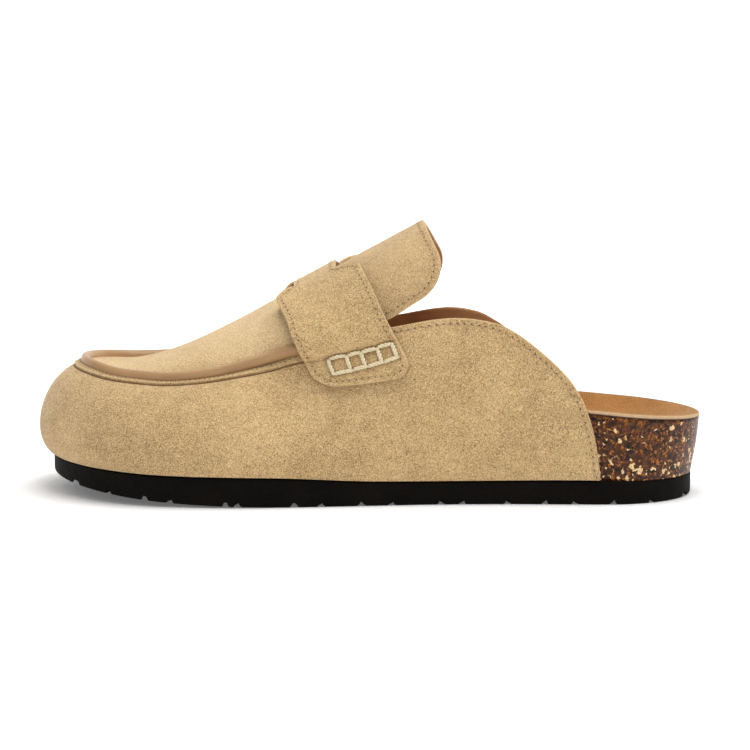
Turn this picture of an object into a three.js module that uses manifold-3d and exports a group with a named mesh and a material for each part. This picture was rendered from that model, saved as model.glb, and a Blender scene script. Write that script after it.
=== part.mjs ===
// A backless clog of the loafer kind, left foot: suede upper with a piped apron seam, a penny strap and a
// standing tongue, on a contoured cork footbed and a flat black foam outsole.
// Millimetres. The toe points along -X, the outer side of the foot along -Y and up is +Z.

import * as THREE from "three";
import { mergeVertices } from "three/addons/utils/BufferGeometryUtils.js";
import Module from "manifold-3d";

const wasm = await Module();
wasm.setup();

// Sole: length and widths of its outline, and the lengths of its two round ends
const SOLE_LENGTH = 260;
const BALL_WIDTH = 100;
const HEEL_WIDTH = 70;
const HEEL_ROUND = 36;
const TOE_ROUND = 56;
const SOLE_THICKNESS = 9;
const SOLE_BEVEL = 1.2;
const TOE_SPRING = 7;
const SPRING_START = 0.6; // share of the length, from the heel, where the toe starts to lift
const GROOVE_DEPTH = 1.8;
const GROOVE_WIDTH = 2.6;
const GROOVE_WAVE = 3;
const GROOVE_PITCH = 42;
const GROOVE_PAIR = 10.5;
const FIRST_GROOVE = 12; // from the back of the heel to the middle of the first pair

// Footbed and the suede sheet on it
const CORK_THICKNESS = 12;
const CUP_DEPTH = 15;
const RIM_FLARE = 3;
const RIM_LAND = 2.2;
const RIM_ROUND = 0.4;
const FOOTBED_INSET = 1.9;
const INSOLE_THICKNESS = 1.4;

// Upper
const WALL = 2.4;
const TOE_HEIGHT = 52; // of the apron seam at the toe
const COLLAR_HEIGHT = 71.6;
const TONGUE_HEIGHT = 109;
const TONGUE_TIP = 0.4175; // share of the length, from the heel
const INSTEP_PITCH = THREE.MathUtils.degToRad(28.3);
const SEAM_WIDTH = 60; // across the apron at the ball
const INNER_SETBACK = 7; // how much further forward the inner quarter ends than the outer one
const LIP_HEIGHT = 0.8; // of the step under the apron seam

// Tongue, strap and piping
const TONGUE_THICKNESS = 2.6;
const TONGUE_CORNER = 15;
const STRAP_WIDTH = 35;
const STRAP_WAIST = 19.5;
const STRAP_SETBACK = 29.3; // from the tongue's tip to the strap's back edge, along the instep
const STRAP_THICKNESS = 2.3;
const SHOULDER = 0.6; // share of the way up the arch at which the strap starts to narrow
const WAIST_FROM = 0.74; // and at which it has its waist
const FRONT_NOTCH = 0.77; // the front notch's depth, as a share of the mean of both
const TAB_DROP = 14; // below the arch's foot, at the front
const TAB_SLANT = 4.3; // further down at the back
const TAB_CORNER = 7;
const PIPING_WIDTH = 4.8;
const PIPING_HEIGHT = 3;

const GAP = 0.3; // between pieces that touch

// Outline of the sole. along: share of the length, from the heel. centre: share of the ball width, towards
// the inner side. ball: 0 where the sole is as wide as at the heel, 1 where it is as wide as at the ball.
const OUTLINE = [
  { along: 0.0, centre: 0.0, ball: -0.03 },
  { along: 0.1, centre: -0.006, ball: 0.0 },
  { along: 0.2, centre: -0.012, ball: 0.0 },
  { along: 0.3, centre: -0.02, ball: 0.0 },
  { along: 0.4, centre: -0.032, ball: 0.08 },
  { along: 0.5, centre: -0.037, ball: 0.33 },
  { along: 0.6, centre: -0.028, ball: 0.69 },
  { along: 0.68, centre: -0.018, ball: 0.92 },
  { along: 0.75, centre: -0.006, ball: 1.0 },
  { along: 0.82, centre: 0.012, ball: 0.98 },
  { along: 0.9, centre: 0.045, ball: 0.95 },
  { along: 1.0, centre: 0.09, ball: 0.93 },
];

// Side view of the sole and footbed. sole: share of the sole's thickness. cork: share of the cork's
// thickness under the foot. outer, inner: height of the rim over that, as a share of the cup's depth.
const SIDE_VIEW = [
  { along: 0.0, sole: 0.98, cork: 1.0, outer: 0.66, inner: 0.66 },
  { along: 0.1, sole: 1.0, cork: 0.95, outer: 0.85, inner: 0.84 },
  { along: 0.2, sole: 1.02, cork: 0.95, outer: 0.96, inner: 0.98 },
  { along: 0.3, sole: 1.0, cork: 1.0, outer: 0.86, inner: 1.02 },
  { along: 0.4, sole: 1.0, cork: 1.0, outer: 0.66, inner: 0.96 },
  { along: 0.5, sole: 1.05, cork: 0.93, outer: 0.5, inner: 0.72 },
  { along: 0.6, sole: 1.22, cork: 0.72, outer: 0.4, inner: 0.46 },
  { along: 0.7, sole: 1.24, cork: 0.64, outer: 0.3, inner: 0.33 },
  { along: 0.85, sole: 1.08, cork: 0.6, outer: 0.26, inner: 0.28 },
  { along: 1.0, sole: 0.84, cork: 0.62, outer: 0.3, inner: 0.3 },
];

// The arch over the instep, in planes square to the instep line. back: share of the strap's setback and
// width, from the tongue's tip forwards. rise: height of its sides from the toe's height to the collar's.
// half: half its width, as a share of the seam's width.
const ARCH = [
  { back: 0.0, rise: 1.6, half: 0.545 },
  { back: 0.22, rise: 1.28, half: 0.565 },
  { back: 0.455, rise: 0.875, half: 0.57 },
  { back: 0.73, rise: 0.6, half: 0.55 },
  { back: 1.04, rise: 0.355, half: 0.525 },
];

// Sections of the vamp, from in front of the strap round the toe. foot: where the section stands on the
// outline. seam, out, in: the apron seam's place along the shoe and to either side, as shares of the length
// and of half the seam's width. riseOut, riseIn: its height, as in the arch. ridge, top: the apron's middle
// line, with its height as a share of the way from the toe's height to the tongue's. belly, up: where the
// wall leaves the sole. brow: how far the wall's shoulder stands out of the seam.
const VAMP = [
  { foot: 0.676, seam: 0.668, out: -1.0, in: 1.01, riseOut: 0.035, riseIn: 0.17, ridge: 0.691, top: 0.326,
    belly: 4.5, up: 13, brow: 12, drop: 7 },
  { foot: 0.746, seam: 0.73, out: -0.985, in: 1.02, riseOut: -0.175, riseIn: 0.015, ridge: 0.741, top: 0.211,
    belly: 6, up: 12, brow: 16, drop: 4.5 },
  { foot: 0.812, seam: 0.791, out: -0.955, in: 1.02, riseOut: -0.265, riseIn: -0.055, ridge: 0.787, top: 0.115,
    belly: 7.5, up: 10, brow: 18, drop: 3.5 },
  { foot: 0.868, seam: 0.841, out: -0.87, in: 1.0, riseOut: -0.24, riseIn: -0.08, ridge: 0.829, top: 0.045,
    belly: 8.5, up: 8.5, brow: 19, drop: 3.5 },
  { foot: 0.916, seam: 0.883, out: -0.72, in: 0.93, riseOut: -0.18, riseIn: -0.08, ridge: 0.86, top: 0.004,
    belly: 9, up: 7, brow: 19.5, drop: 4 },
  { foot: 0.958, seam: 0.9155, out: -0.5, in: 0.8, riseOut: -0.085, riseIn: -0.05, ridge: 0.872, top: -0.008,
    belly: 9.3, up: 6, brow: 20, drop: 4 },
  { foot: 0.988, seam: 0.9365, out: -0.2, in: 0.58, riseOut: -0.02, riseIn: -0.02, ridge: 0.872, top: -0.008,
    belly: 9.4, up: 5.5, brow: 20, drop: 4 },
  { foot: 1.0, seam: 0.945, out: 0.19, in: 0.19, riseOut: 0.0, riseIn: 0.0, ridge: 0.872, top: -0.008,
    belly: 9.4, up: 5.5, brow: 20, drop: 4 },
];

// Sections of the quarter, from the back edge to the strap. high: top of the section, past the collar, as a
// share of the collar's height. lean: how far the top stands in from the sole's outline.
const QUARTER = [
  { along: 0.1, high: 1.06, lean: 1.5 },
  { along: 0.15, high: 1.06, lean: 2 },
  { along: 0.255, high: 1.06, lean: 3 },
  { along: 0.36, high: 1.05, lean: 4.5 },
];

// The quarter's top and back edge, from the strap down to the sole, in side view. high: share of the way
// from the sole's top to the collar's height.
const COLLAR_EDGE = [
  { along: 0.4605, high: 0.943 },
  { along: 0.395, high: 0.992 },
  { along: 0.35, high: 1.0 },
  { along: 0.305, high: 0.97 },
  { along: 0.275, high: 0.912 },
  { along: 0.245, high: 0.82 },
  { along: 0.215, high: 0.71 },
  { along: 0.193, high: 0.607 },
  { along: 0.175, high: 0.475 },
  { along: 0.16, high: 0.28 },
  { along: 0.149, high: 0.0 },
];
const CORNER_ROW = 5; // the row where the top edge turns into the back edge

const UP = new THREE.Vector3(0, 0, 1);
const vec = (x, y, z) => new THREE.Vector3(x, y, z);
const alongToX = (along) => (0.5 - along) * SOLE_LENGTH;
const xToAlong = (x) => 0.5 - x / SOLE_LENGTH;
const smoothstep = (low, high, value) => THREE.MathUtils.smoothstep(value, low, high);

// Slope of a table's column at one of its rows.
function slopeAt(rows, key, column, i) {
  const before = rows[Math.max(i - 1, 0)];
  const after = rows[Math.min(i + 1, rows.length - 1)];
  return (after[column] - before[column]) / (after[key] - before[key]);
}

// Value of a table's column at a place along its key, on a smooth curve through the rows.
function lookUp(rows, key, column, at) {
  const descending = rows[0][key] > rows[rows.length - 1][key];
  let i = 0;
  while (i < rows.length - 2 && (descending ? at < rows[i + 1][key] : at > rows[i + 1][key])) i++;
  const a = rows[i];
  const b = rows[i + 1];
  const span = b[key] - a[key];
  const s = THREE.MathUtils.clamp((at - a[key]) / span, 0, 1);
  const m0 = slopeAt(rows, key, column, i) * span;
  const m1 = slopeAt(rows, key, column, i + 1) * span;
  return (
    a[column] * (2 * s ** 3 - 3 * s ** 2 + 1) + m0 * (s ** 3 - 2 * s ** 2 + s) +
    b[column] * (3 * s ** 2 - 2 * s ** 3) + m1 * (s ** 3 - s ** 2)
  );
}

// How far the round ends narrow the outline, from 0 at the tip to 1.
function roundEnd(along) {
  const fromHeel = along * SOLE_LENGTH;
  const fromToe = SOLE_LENGTH - fromHeel;
  const heel = Math.min(fromHeel / HEEL_ROUND, 1);
  const toe = Math.min(fromToe / TOE_ROUND, 1);
  return Math.sqrt(Math.max(0, 1 - (1 - heel) ** 2)) * Math.sqrt(Math.max(0, 1 - (1 - toe) ** 2.2));
}

// The sole's edge at a place along it. side is -1 for the outer side and 1 for the inner.
function edgeY(along, side) {
  const centre = lookUp(OUTLINE, "along", "centre", along) * BALL_WIDTH;
  const ball = lookUp(OUTLINE, "along", "ball", along);
  return centre + (side * (HEEL_WIDTH + (BALL_WIDTH - HEEL_WIDTH) * ball) * roundEnd(along)) / 2;
}

const soleBottom = (along) =>
  TOE_SPRING * (Math.max(0, along - SPRING_START) / (1 - SPRING_START)) ** 2;
const soleTop = (along) => soleBottom(along) + SOLE_THICKNESS * lookUp(SIDE_VIEW, "along", "sole", along);

// A place on the outline by its turn, from 0 at the heel, along the outer side to 0.5 at the toe and back
// along the inner side, moved outwards by offset.
function outlinePoint(turn, offset = 0) {
  const at = (t) => {
    const wrapped = ((t % 1) + 1) % 1;
    const along = (1 - Math.cos(wrapped * 2 * Math.PI)) / 2;
    return vec(alongToX(along), edgeY(along, wrapped <= 0.5 ? -1 : 1), 0);
  };
  const step = 1e-3;
  const tangent = at(turn + step).sub(at(turn - step));
  const outward = vec(-tangent.y, tangent.x, 0).normalize();
  return at(turn).addScaledVector(outward, offset);
}

// The turn of the outline at a place along the shoe.
const turnAt = (along, side) => {
  const half = Math.acos(THREE.MathUtils.clamp(1 - 2 * along, -1, 1)) / (2 * Math.PI);
  return side < 0 ? half : 1 - half;
};

// How far the footbed stands in from the sole's outline: flush at the bare heel, and in by the upper's wall
// further forward.
const footbedInset = (along) => FOOTBED_INSET * smoothstep(0.07, 0.15, along);
const upperOverhang = (along) => WALL + GAP * 1.6 - footbedInset(along);

// A closed solid from a mesh given as points and faces.
function toGeometry(points, faces) {
  const geometry = new THREE.BufferGeometry();
  const position = new Float32Array(points.length * 3);
  points.forEach((p, i) => p.toArray(position, i * 3));
  geometry.setAttribute("position", new THREE.BufferAttribute(position, 3));
  geometry.setIndex(faces.flat());
  return mergeVertices(geometry, 1e-3);
}

function toSolid(geometry) {
  return new wasm.Manifold(
    new wasm.Mesh({
      numProp: 3,
      vertProperties: new Float32Array(geometry.attributes.position.array),
      triVerts: new Uint32Array(geometry.index.array),
    }),
  );
}

function fromSolid(solid) {
  const mesh = solid.getMesh();
  const geometry = new THREE.BufferGeometry();
  geometry.setAttribute("position", new THREE.BufferAttribute(mesh.vertProperties, mesh.numProp));
  geometry.setIndex(new THREE.BufferAttribute(mesh.triVerts, 1));
  return geometry;
}

// Faces between two neighbouring rows of points with the same count.
function stitchRows(first, second, count, closed, otherWay = false) {
  const faces = [];
  for (let i = 0; i < (closed ? count : count - 1); i++) {
    const next = (i + 1) % count;
    const [a, b, c, d] = [first + i, first + next, second + next, second + i];
    faces.push(...(otherWay ? [[a, b, d], [b, c, d]] : [[a, b, c], [a, c, d]]));
  }
  return faces;
}

// A solid from closed rings of outline points, from its underside up and inwards. Each end is closed by
// bars across the shoe, from the outer side to the inner. The first rings, under of them, are cut into
// triangles the other way, to match the upper face that they lie on.
function ringSolid(rings, under = 0) {
  const count = rings[0].length;
  const points = rings.flat();
  const faces = [];
  for (let r = 0; r + 1 < rings.length; r++) {
    faces.push(...stitchRows(r * count, (r + 1) * count, count, true, r < under));
  }
  const last = (rings.length - 1) * count;
  for (let i = 0; i < count / 2; i++) {
    const [a, b] = [i, i + 1];
    const [c, d] = [(count - i) % count, count - i - 1];
    const under = [[a, c, d], [a, d, b]];
    under.forEach((f) => faces.push(f));
    under.forEach((f) => faces.push(f.map((v) => v + last).reverse()));
  }
  const turned = faces.filter((f) => new Set(f).size === 3).map((f) => [f[0], f[2], f[1]]);
  return toGeometry(points, turned);
}

const RING_POINTS = 60;

// The line down the middle of the sole that its rings close in on.
function middlePoint(along) {
  const inside = THREE.MathUtils.clamp(along, HEEL_WIDTH / 2 / SOLE_LENGTH, 1 - BALL_WIDTH / 2 / SOLE_LENGTH);
  return vec(alongToX(inside), lookUp(OUTLINE, "along", "centre", inside) * BALL_WIDTH, 0);
}

// One ring of outline points: offset and height are functions of the place along and the side, and depth is
// how far the ring has closed in on the middle line.
function ring(offset, height, depth = 0) {
  return Array.from({ length: RING_POINTS }, (_, i) => {
    const turn = i / RING_POINTS;
    const along = (1 - Math.cos(turn * 2 * Math.PI)) / 2;
    const side = turn <= 0.5 ? -1 : 1;
    const p = outlinePoint(turn, offset(along, side));
    return p.lerp(middlePoint(along), depth).setZ(height(along, side));
  });
}

// A wavy groove right across the tread, as a solid to cut away.
function grooveCutter(x, flip) {
  const steps = 12;
  const reach = BALL_WIDTH * 0.75;
  const path = Array.from({ length: steps + 1 }, (_, i) => {
    const y = THREE.MathUtils.lerp(-reach, reach, i / steps);
    const wave = GROOVE_WAVE * Math.sin((y / BALL_WIDTH) * 3 * Math.PI) * flip;
    return vec(x + wave, y, soleBottom(THREE.MathUtils.clamp(xToAlong(x), 0, 1)));
  });
  const rows = path.map((p) => {
    const top = p.z + GROOVE_DEPTH;
    const low = p.z - GROOVE_DEPTH;
    return [
      vec(p.x - GROOVE_WIDTH / 2, p.y, low),
      vec(p.x + GROOVE_WIDTH / 2, p.y, low),
      vec(p.x + GROOVE_WIDTH / 3, p.y, top),
      vec(p.x - GROOVE_WIDTH / 3, p.y, top),
    ];
  });
  const faces = [];
  for (let i = 0; i < steps; i++) faces.push(...stitchRows(i * 4, (i + 1) * 4, 4, true));
  const end = steps * 4;
  faces.push([0, 2, 1], [0, 3, 2], [end, end + 1, end + 2], [end, end + 2, end + 3]);
  return toSolid(toGeometry(rows.flat(), faces.map((f) => [f[0], f[2], f[1]])));
}

// Places of the grooves along the shoe: pairs at an even pitch, each with a middle groove between pairs.
function groovePlaces() {
  const places = [];
  for (let from = FIRST_GROOVE; from < SOLE_LENGTH - GROOVE_PAIR; from += GROOVE_PITCH) {
    places.push(from - GROOVE_PAIR / 2, from + GROOVE_PAIR / 2, from + GROOVE_PITCH / 2);
  }
  return places.filter((d) => d > GROOVE_PAIR / 2 && d < SOLE_LENGTH - GROOVE_PAIR / 2);
}

function outsoleGeometry() {
  const body = toSolid(
    ringSolid([
      ring(() => -SOLE_BEVEL, (along) => soleBottom(along)),
      ring(() => 0, (along) => soleBottom(along) + SOLE_BEVEL),
      ring(() => 0, (along) => soleTop(along)),
    ]),
  );
  const cutters = groovePlaces().map((d, i) => grooveCutter(SOLE_LENGTH / 2 - d, i % 2 ? 1 : -1));
  return fromSolid(body.subtract(wasm.Manifold.union(cutters)));
}

// Height of the cork's upper face. depth runs from 0 at the rim's inner edge to 1 at the middle.
function corkHeight(along, side, depth) {
  const under = soleTop(along) + GAP + CORK_THICKNESS * lookUp(SIDE_VIEW, "along", "cork", along);
  const rim = CUP_DEPTH * lookUp(SIDE_VIEW, "along", side < 0 ? "outer" : "inner", along);
  return under + rim * (1 - depth) ** 2.4;
}

const rimOffset = (along) => RIM_FLARE * (1 - smoothstep(0, 0.15, along)) - footbedInset(along);

// Rings of the cupped upper face of the footbed, from its rim's outer edge inwards.
function cupRings(lift) {
  const edge = ring(rimOffset, (along, side) => corkHeight(along, side, 0) + lift - RIM_ROUND);
  const depths = [0, 0.12, 0.26, 0.42, 0.6, 0.8, 0.95];
  const land = RIM_LAND / (HEEL_WIDTH / 2);
  const cup = depths.map((depth) =>
    ring(rimOffset, (along, side) => corkHeight(along, side, depth) + lift, land + depth * (1 - land)),
  );
  return [edge, ...cup];
}

function footbedGeometry() {
  const inset = (along) => -footbedInset(along);
  return ringSolid([
    ring(inset, (along) => soleTop(along) + GAP),
    ring(inset, (along) => soleTop(along) + GAP + CORK_THICKNESS / 6),
    ...cupRings(0),
  ]);
}

function insoleGeometry() {
  const underside = cupRings(GAP * 1.4).reverse();
  return ringSolid([...underside, ...cupRings(GAP * 1.4 + INSOLE_THICKNESS)], underside.length - 1);
}

// Instep line: from the tongue's tip forwards and down.
const INSTEP_RUN = STRAP_SETBACK + STRAP_WIDTH;
const instepDirection = vec(Math.cos(INSTEP_PITCH), 0, Math.sin(INSTEP_PITCH));
const archUp = vec(-Math.sin(INSTEP_PITCH), 0, Math.cos(INSTEP_PITCH));
const ridgeY = (along) => 0.03 * BALL_WIDTH * smoothstep(0.5, 0.9, along);
const instepPoint = (back) =>
  vec(alongToX(TONGUE_TIP), 0, TONGUE_HEIGHT).addScaledVector(instepDirection, -back);
const riseHeight = (rise) => TOE_HEIGHT + (COLLAR_HEIGHT - TOE_HEIGHT) * rise;

// The four points of the arch's curve on one side, from its foot up to the instep line.
function archCurve(back, side) {
  const share = back / INSTEP_RUN;
  const ridge = instepPoint(back);
  const half = lookUp(ARCH, "back", "half", share) * SEAM_WIDTH;
  const drop = (ridge.z - riseHeight(lookUp(ARCH, "back", "rise", share))) / Math.cos(INSTEP_PITCH);
  const foot = ridge.clone().addScaledVector(archUp, -drop).setY(side * half);
  return [
    foot,
    foot.clone().addScaledVector(archUp, drop * 0.52).setY(side * half * 0.98),
    ridge.clone().setY(side * half * 0.56),
    ridge,
  ];
}

// One section of the upper: four points up the wall to the seam and three more to the ridge.
function sectionPoints(foot, seam, belly, up, brow, drop, apron) {
  const outward = foot.clone().sub(seam).setZ(0).normalize();
  return [
    foot,
    foot.clone().addScaledVector(outward, belly).addScaledVector(UP, up),
    seam.clone().addScaledVector(outward, brow).addScaledVector(UP, -drop),
    seam,
    ...apron,
  ];
}

function footPoint(along, side) {
  const p = outlinePoint(turnAt(along, side), upperOverhang(along));
  return p.setZ(soleTop(along) + GAP * 1.5);
}

function quarterSection(row, side) {
  const foot = footPoint(row.along, side);
  foot.x = alongToX(row.along);
  const top = vec(foot.x, foot.y - side * row.lean, COLLAR_HEIGHT * row.high);
  return sectionPoints(foot, top, 3, 18, 2.5, 20, []);
}

function archSection(back, side) {
  const [seam, ...apron] = archCurve(back, side);
  const foot = footPoint(xToAlong(seam.x), side);
  foot.x = seam.x;
  return sectionPoints(foot, seam, 3.5, 16, 4, 17, apron);
}

function vampSection(row, side) {
  const across = side < 0 ? row.out : row.in;
  const rise = side < 0 ? row.riseOut : row.riseIn;
  const seam = vec(alongToX(row.seam), (across * SEAM_WIDTH) / 2, riseHeight(rise));
  const ridgeHeight = TOE_HEIGHT + (TONGUE_HEIGHT - TOE_HEIGHT) * row.top;
  const ridge = vec(alongToX(row.ridge), ridgeY(row.ridge), ridgeHeight);
  const flat = seam.clone().sub(ridge).setZ(0);
  const height = ridge.z - seam.z;
  const steep = THREE.MathUtils.clamp(height / 20, 0, 1);
  const low = seam.clone().addScaledVector(flat, -0.3 * (1 - steep) - 0.03).addScaledVector(UP, height * 0.5);
  const high = ridge.clone().addScaledVector(flat, 0.5);
  const foot = footPoint(row.foot, side);
  return sectionPoints(foot, seam, row.belly, row.up, row.brow, row.drop, [low, high, ridge]);
}

const SPLIT_BACK = STRAP_SETBACK + STRAP_WIDTH / 2; // where the apron ends and the tongue begins
const SPLIT_ROW = QUARTER.length + 1;

// Sections from the outer back edge, round the toe, to the inner back edge.
const oneSide = (side) => [
  ...QUARTER.map((row) => quarterSection(row, side)),
  archSection(STRAP_SETBACK, side),
  archSection(SPLIT_BACK, side),
  archSection(INSTEP_RUN * 1.04, side),
  ...VAMP.map((row) => vampSection(row, side)),
];
const outerSections = oneSide(-1);
const innerSections = oneSide(1);
const SECTIONS = [...outerSections, ...innerSections.slice(0, -1).reverse()];
const TOE_ROW = outerSections.length - 1;
const LAST_ROW = SECTIONS.length - 1;

// Point number n of the section at a place between the rows, on a smooth curve through all the rows.
function controlPoint(row, n) {
  const i = Math.min(Math.floor(row), LAST_ROW - 1);
  const s = row - i;
  const low = n > 3 ? SPLIT_ROW : 0;
  const [a, b, c, d] = [i - 1, i, i + 1, i + 2].map(
    (k) => SECTIONS[THREE.MathUtils.clamp(k, low, LAST_ROW - low)][n],
  );
  const slope = (before, at, after) =>
    after.clone().sub(before).multiplyScalar(at.equals(before) || at.equals(after) ? 0 : 0.5);
  const m0 = slope(a, b, c);
  const m1 = slope(b, c, d);
  return b.clone().multiplyScalar(2 * s ** 3 - 3 * s ** 2 + 1)
    .addScaledVector(m0, s ** 3 - 2 * s ** 2 + s)
    .addScaledVector(c, 3 * s ** 2 - 2 * s ** 3)
    .addScaledVector(m1, s ** 3 - s ** 2);
}

function bezier([a, b, c, d], t) {
  const u = 1 - t;
  return a.clone().multiplyScalar(u ** 3)
    .addScaledVector(b, 3 * u * u * t)
    .addScaledVector(c, 3 * u * t * t)
    .addScaledVector(d, t ** 3);
}

// The upper's outer face: up the wall for t from 0 to 1, and over the apron from 1 to 2.
function upperPoint(row, t) {
  const first = t <= 1 ? 0 : 3;
  return bezier([0, 1, 2, 3].map((n) => controlPoint(row, first + n)), t <= 1 ? t : t - 1);
}

function bisect(low, high, isLow) {
  for (let i = 0; i < 40; i++) {
    const middle = (low + high) / 2;
    if (isLow(middle)) low = middle;
    else high = middle;
  }
  return (low + high) / 2;
}

// The wall's outer face at a place in side view, behind the front of the strap.
function wallPoint(x, z, side) {
  const half = bisect(0, SPLIT_ROW + 1.5, (row) => controlPoint(row, 0).x > x);
  const row = side < 0 ? half : LAST_ROW - half;
  const t = bisect(0, 1, (s) => upperPoint(row, s).z < z);
  return upperPoint(row, t);
}

// A sheet of points and faces given a thickness to its back, with its open edges closed. raise lifts single
// points of the front.
function thicken(points, faces, thickness, { isFoot = () => false, raise = () => 0, lift = 0 } = {}) {
  const sheet = toGeometry(points, faces);
  sheet.computeVertexNormals();
  const { position, normal } = sheet.attributes;
  const front = [];
  const back = [];
  for (let i = 0; i < position.count; i++) {
    const p = new THREE.Vector3().fromBufferAttribute(position, i);
    const n = new THREE.Vector3().fromBufferAttribute(normal, i);
    if (isFoot(p)) n.setZ(0).normalize();
    front.push(p.clone().addScaledVector(n, raise(p)));
    back.push(p.clone().addScaledVector(n, lift - thickness));
  }
  const index = Array.from(sheet.index.array);
  const solid = [];
  const open = new Map();
  const count = front.length;
  for (let i = 0; i < index.length; i += 3) {
    const face = index.slice(i, i + 3);
    solid.push(face, face.map((v) => v + count).reverse());
    face.forEach((v, k) => {
      const next = face[(k + 1) % 3];
      if (!open.delete(`${next} ${v}`)) open.set(`${v} ${next}`, [v, next]);
    });
  }
  for (const [a, b] of open.values()) solid.push([b, a, a + count], [b, a + count, b + count]);
  return toGeometry([...front, ...back], solid);
}

// Faces of a grid of rows, each row an array of points, leaving out faces that have collapsed.
function gridSheet(rows, turned = false) {
  const count = rows[0].length;
  const faces = [];
  for (let r = 0; r + 1 < rows.length; r++) {
    faces.push(...stitchRows(r * count, (r + 1) * count, count, false));
  }
  return { points: rows.flat(), faces: turned ? faces.map((f) => [f[0], f[2], f[1]]) : faces };
}

function joinSheets(sheets) {
  const points = [];
  const faces = [];
  for (const sheet of sheets) {
    faces.push(...sheet.faces.map((f) => f.map((v) => v + points.length)));
    points.push(...sheet.points);
  }
  const spot = (v) => points[v].toArray().map((c) => Math.round(c * 1e3)).join();
  return { points, faces: faces.filter((f) => new Set(f.map(spot)).size === 3) };
}

// Steps up the wall. The lip under the apron seam is raised at the two LIP_STEPS.
const WALL_STEPS = [0, 0.08, 0.18, 0.3, 0.43, 0.56, 0.69, 0.8, 0.89, 0.9, 0.935, 0.945, 1];
const LIP_STEPS = [0.9, 0.935];
const APRON_STEPS = [1, 1.1, 1.22, 1.36, 1.5, 1.62, 1.74, 1.87, 2];

// Rows of the vamp round the toe, from one split to the other.
function vampRows() {
  const rows = [];
  const last = LAST_ROW - SPLIT_ROW;
  for (let row = SPLIT_ROW; row < TOE_ROW - 0.01; row += 0.5) rows.push(row);
  return [...rows, TOE_ROW, ...rows.map((row) => last - (row - SPLIT_ROW)).reverse()];
}

// A point of the quarter's top and back edge in side view, for a place between the rows of COLLAR_EDGE.
const COLLAR_PLACES = COLLAR_EDGE.map((row, i) => ({ ...row, at: i }));
function collarPoint(place, side) {
  const setback = side < 0 ? 0 : INNER_SETBACK * smoothstep(0, CORNER_ROW - 1, place);
  const along = lookUp(COLLAR_PLACES, "at", "along", place) + setback / SOLE_LENGTH;
  const low = soleTop(along) + GAP;
  return vec(alongToX(along), 0, low + (COLLAR_HEIGHT - low) * lookUp(COLLAR_PLACES, "at", "high", place));
}

// The quarter's grid, spanned in side view between its four edges: the strap's middle, the collar, the back
// edge and the foot. Its columns run from the split to the back edge.
const LEAD = 0.15; // share of the columns up to where COLLAR_EDGE starts
function quarterGrid(side, columns) {
  const splitX = controlPoint(SPLIT_ROW, 0).x;
  const topLeft = controlPoint(SPLIT_ROW, 3).clone().setX(splitX).setY(0);
  const corner = collarPoint(CORNER_ROW, side);
  const backFoot = collarPoint(COLLAR_EDGE.length - 1, side);
  const top = (u) =>
    u <= LEAD
      ? topLeft.clone().lerp(collarPoint(0, side), u / LEAD)
      : collarPoint(((u - LEAD) / (1 - LEAD)) * CORNER_ROW, side);
  const back = (v) => collarPoint(THREE.MathUtils.lerp(COLLAR_EDGE.length - 1, CORNER_ROW, v), side);
  const floor = (u) => {
    const x = THREE.MathUtils.lerp(splitX, backFoot.x, u);
    return vec(x, 0, soleTop(xToAlong(x)) + GAP);
  };
  const lowLeft = floor(0);
  const splitRow = side < 0 ? SPLIT_ROW : LAST_ROW - SPLIT_ROW;
  return columns.map((u) =>
    WALL_STEPS.map((t) => {
      if (u === 0) return upperPoint(splitRow, t);
      const left = vec(splitX, 0, upperPoint(SPLIT_ROW, t).z);
      const v = (left.z - lowLeft.z) / (topLeft.z - lowLeft.z);
      const upDown = floor(u).lerp(top(u), v);
      const foreAft = left.lerp(back(v), u);
      const corners = lowLeft.clone().lerp(backFoot, u).lerp(topLeft.clone().lerp(corner, u), v);
      const at = upDown.add(foreAft).sub(corners);
      return wallPoint(at.x, at.z, side);
    }),
  );
}

const QUARTER_COLUMNS = [0, 0.08, 0.15, 0.26, 0.38, 0.5, 0.62, 0.74, 0.87, 1];

// The upper's outer face as one sheet.
function upperSheet() {
  const rows = vampRows();
  const wall = gridSheet(rows.map((row) => WALL_STEPS.map((t) => upperPoint(row, t))));
  const apron = gridSheet(rows.map((row) => APRON_STEPS.map((t) => upperPoint(row, t))));
  const quarters = [-1, 1].map((side) => gridSheet(quarterGrid(side, QUARTER_COLUMNS), side < 0));
  return joinSheets([wall, apron, ...quarters]);
}

const spotOf = (p) => p.toArray().map((c) => Math.fround(c).toFixed(2)).join();
const isFoot = (p) => p.z < soleTop(THREE.MathUtils.clamp(xToAlong(p.x), 0, 1)) + GAP + 0.5;

function upperGeometry() {
  const sheet = upperSheet();
  const lip = new Set();
  const inFront = vampRows().filter((row) => row > SPLIT_ROW + 1 && row < LAST_ROW - SPLIT_ROW - 1);
  inFront.forEach((row) => LIP_STEPS.forEach((t) => lip.add(spotOf(upperPoint(row, t)))));
  const raise = (p) => (lip.has(spotOf(p)) ? LIP_HEIGHT : 0);
  return thicken(sheet.points, sheet.faces, WALL, { isFoot, raise });
}

// The room that the upper takes inside the shoe, with the gap to the footbed.
function upperRoom() {
  const sheet = upperSheet();
  return toSolid(thicken(sheet.points, sheet.faces, WALL + GAP, { isFoot }));
}

// A point of the arch, for a place back along the instep line and t from its foot to the ridge: on the
// upper where that reaches, and on the arch's own curve behind it.
function archPoint(back, side, t) {
  if (back <= SPLIT_BACK) return bezier(archCurve(back, side), t);
  const behind = (row) => instepPoint(0).sub(controlPoint(row, 3)).dot(instepDirection) < back;
  const row = bisect(SPLIT_ROW, SPLIT_ROW + 2, behind);
  return upperPoint(side < 0 ? row : LAST_ROW - row, 1 + t);
}

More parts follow.
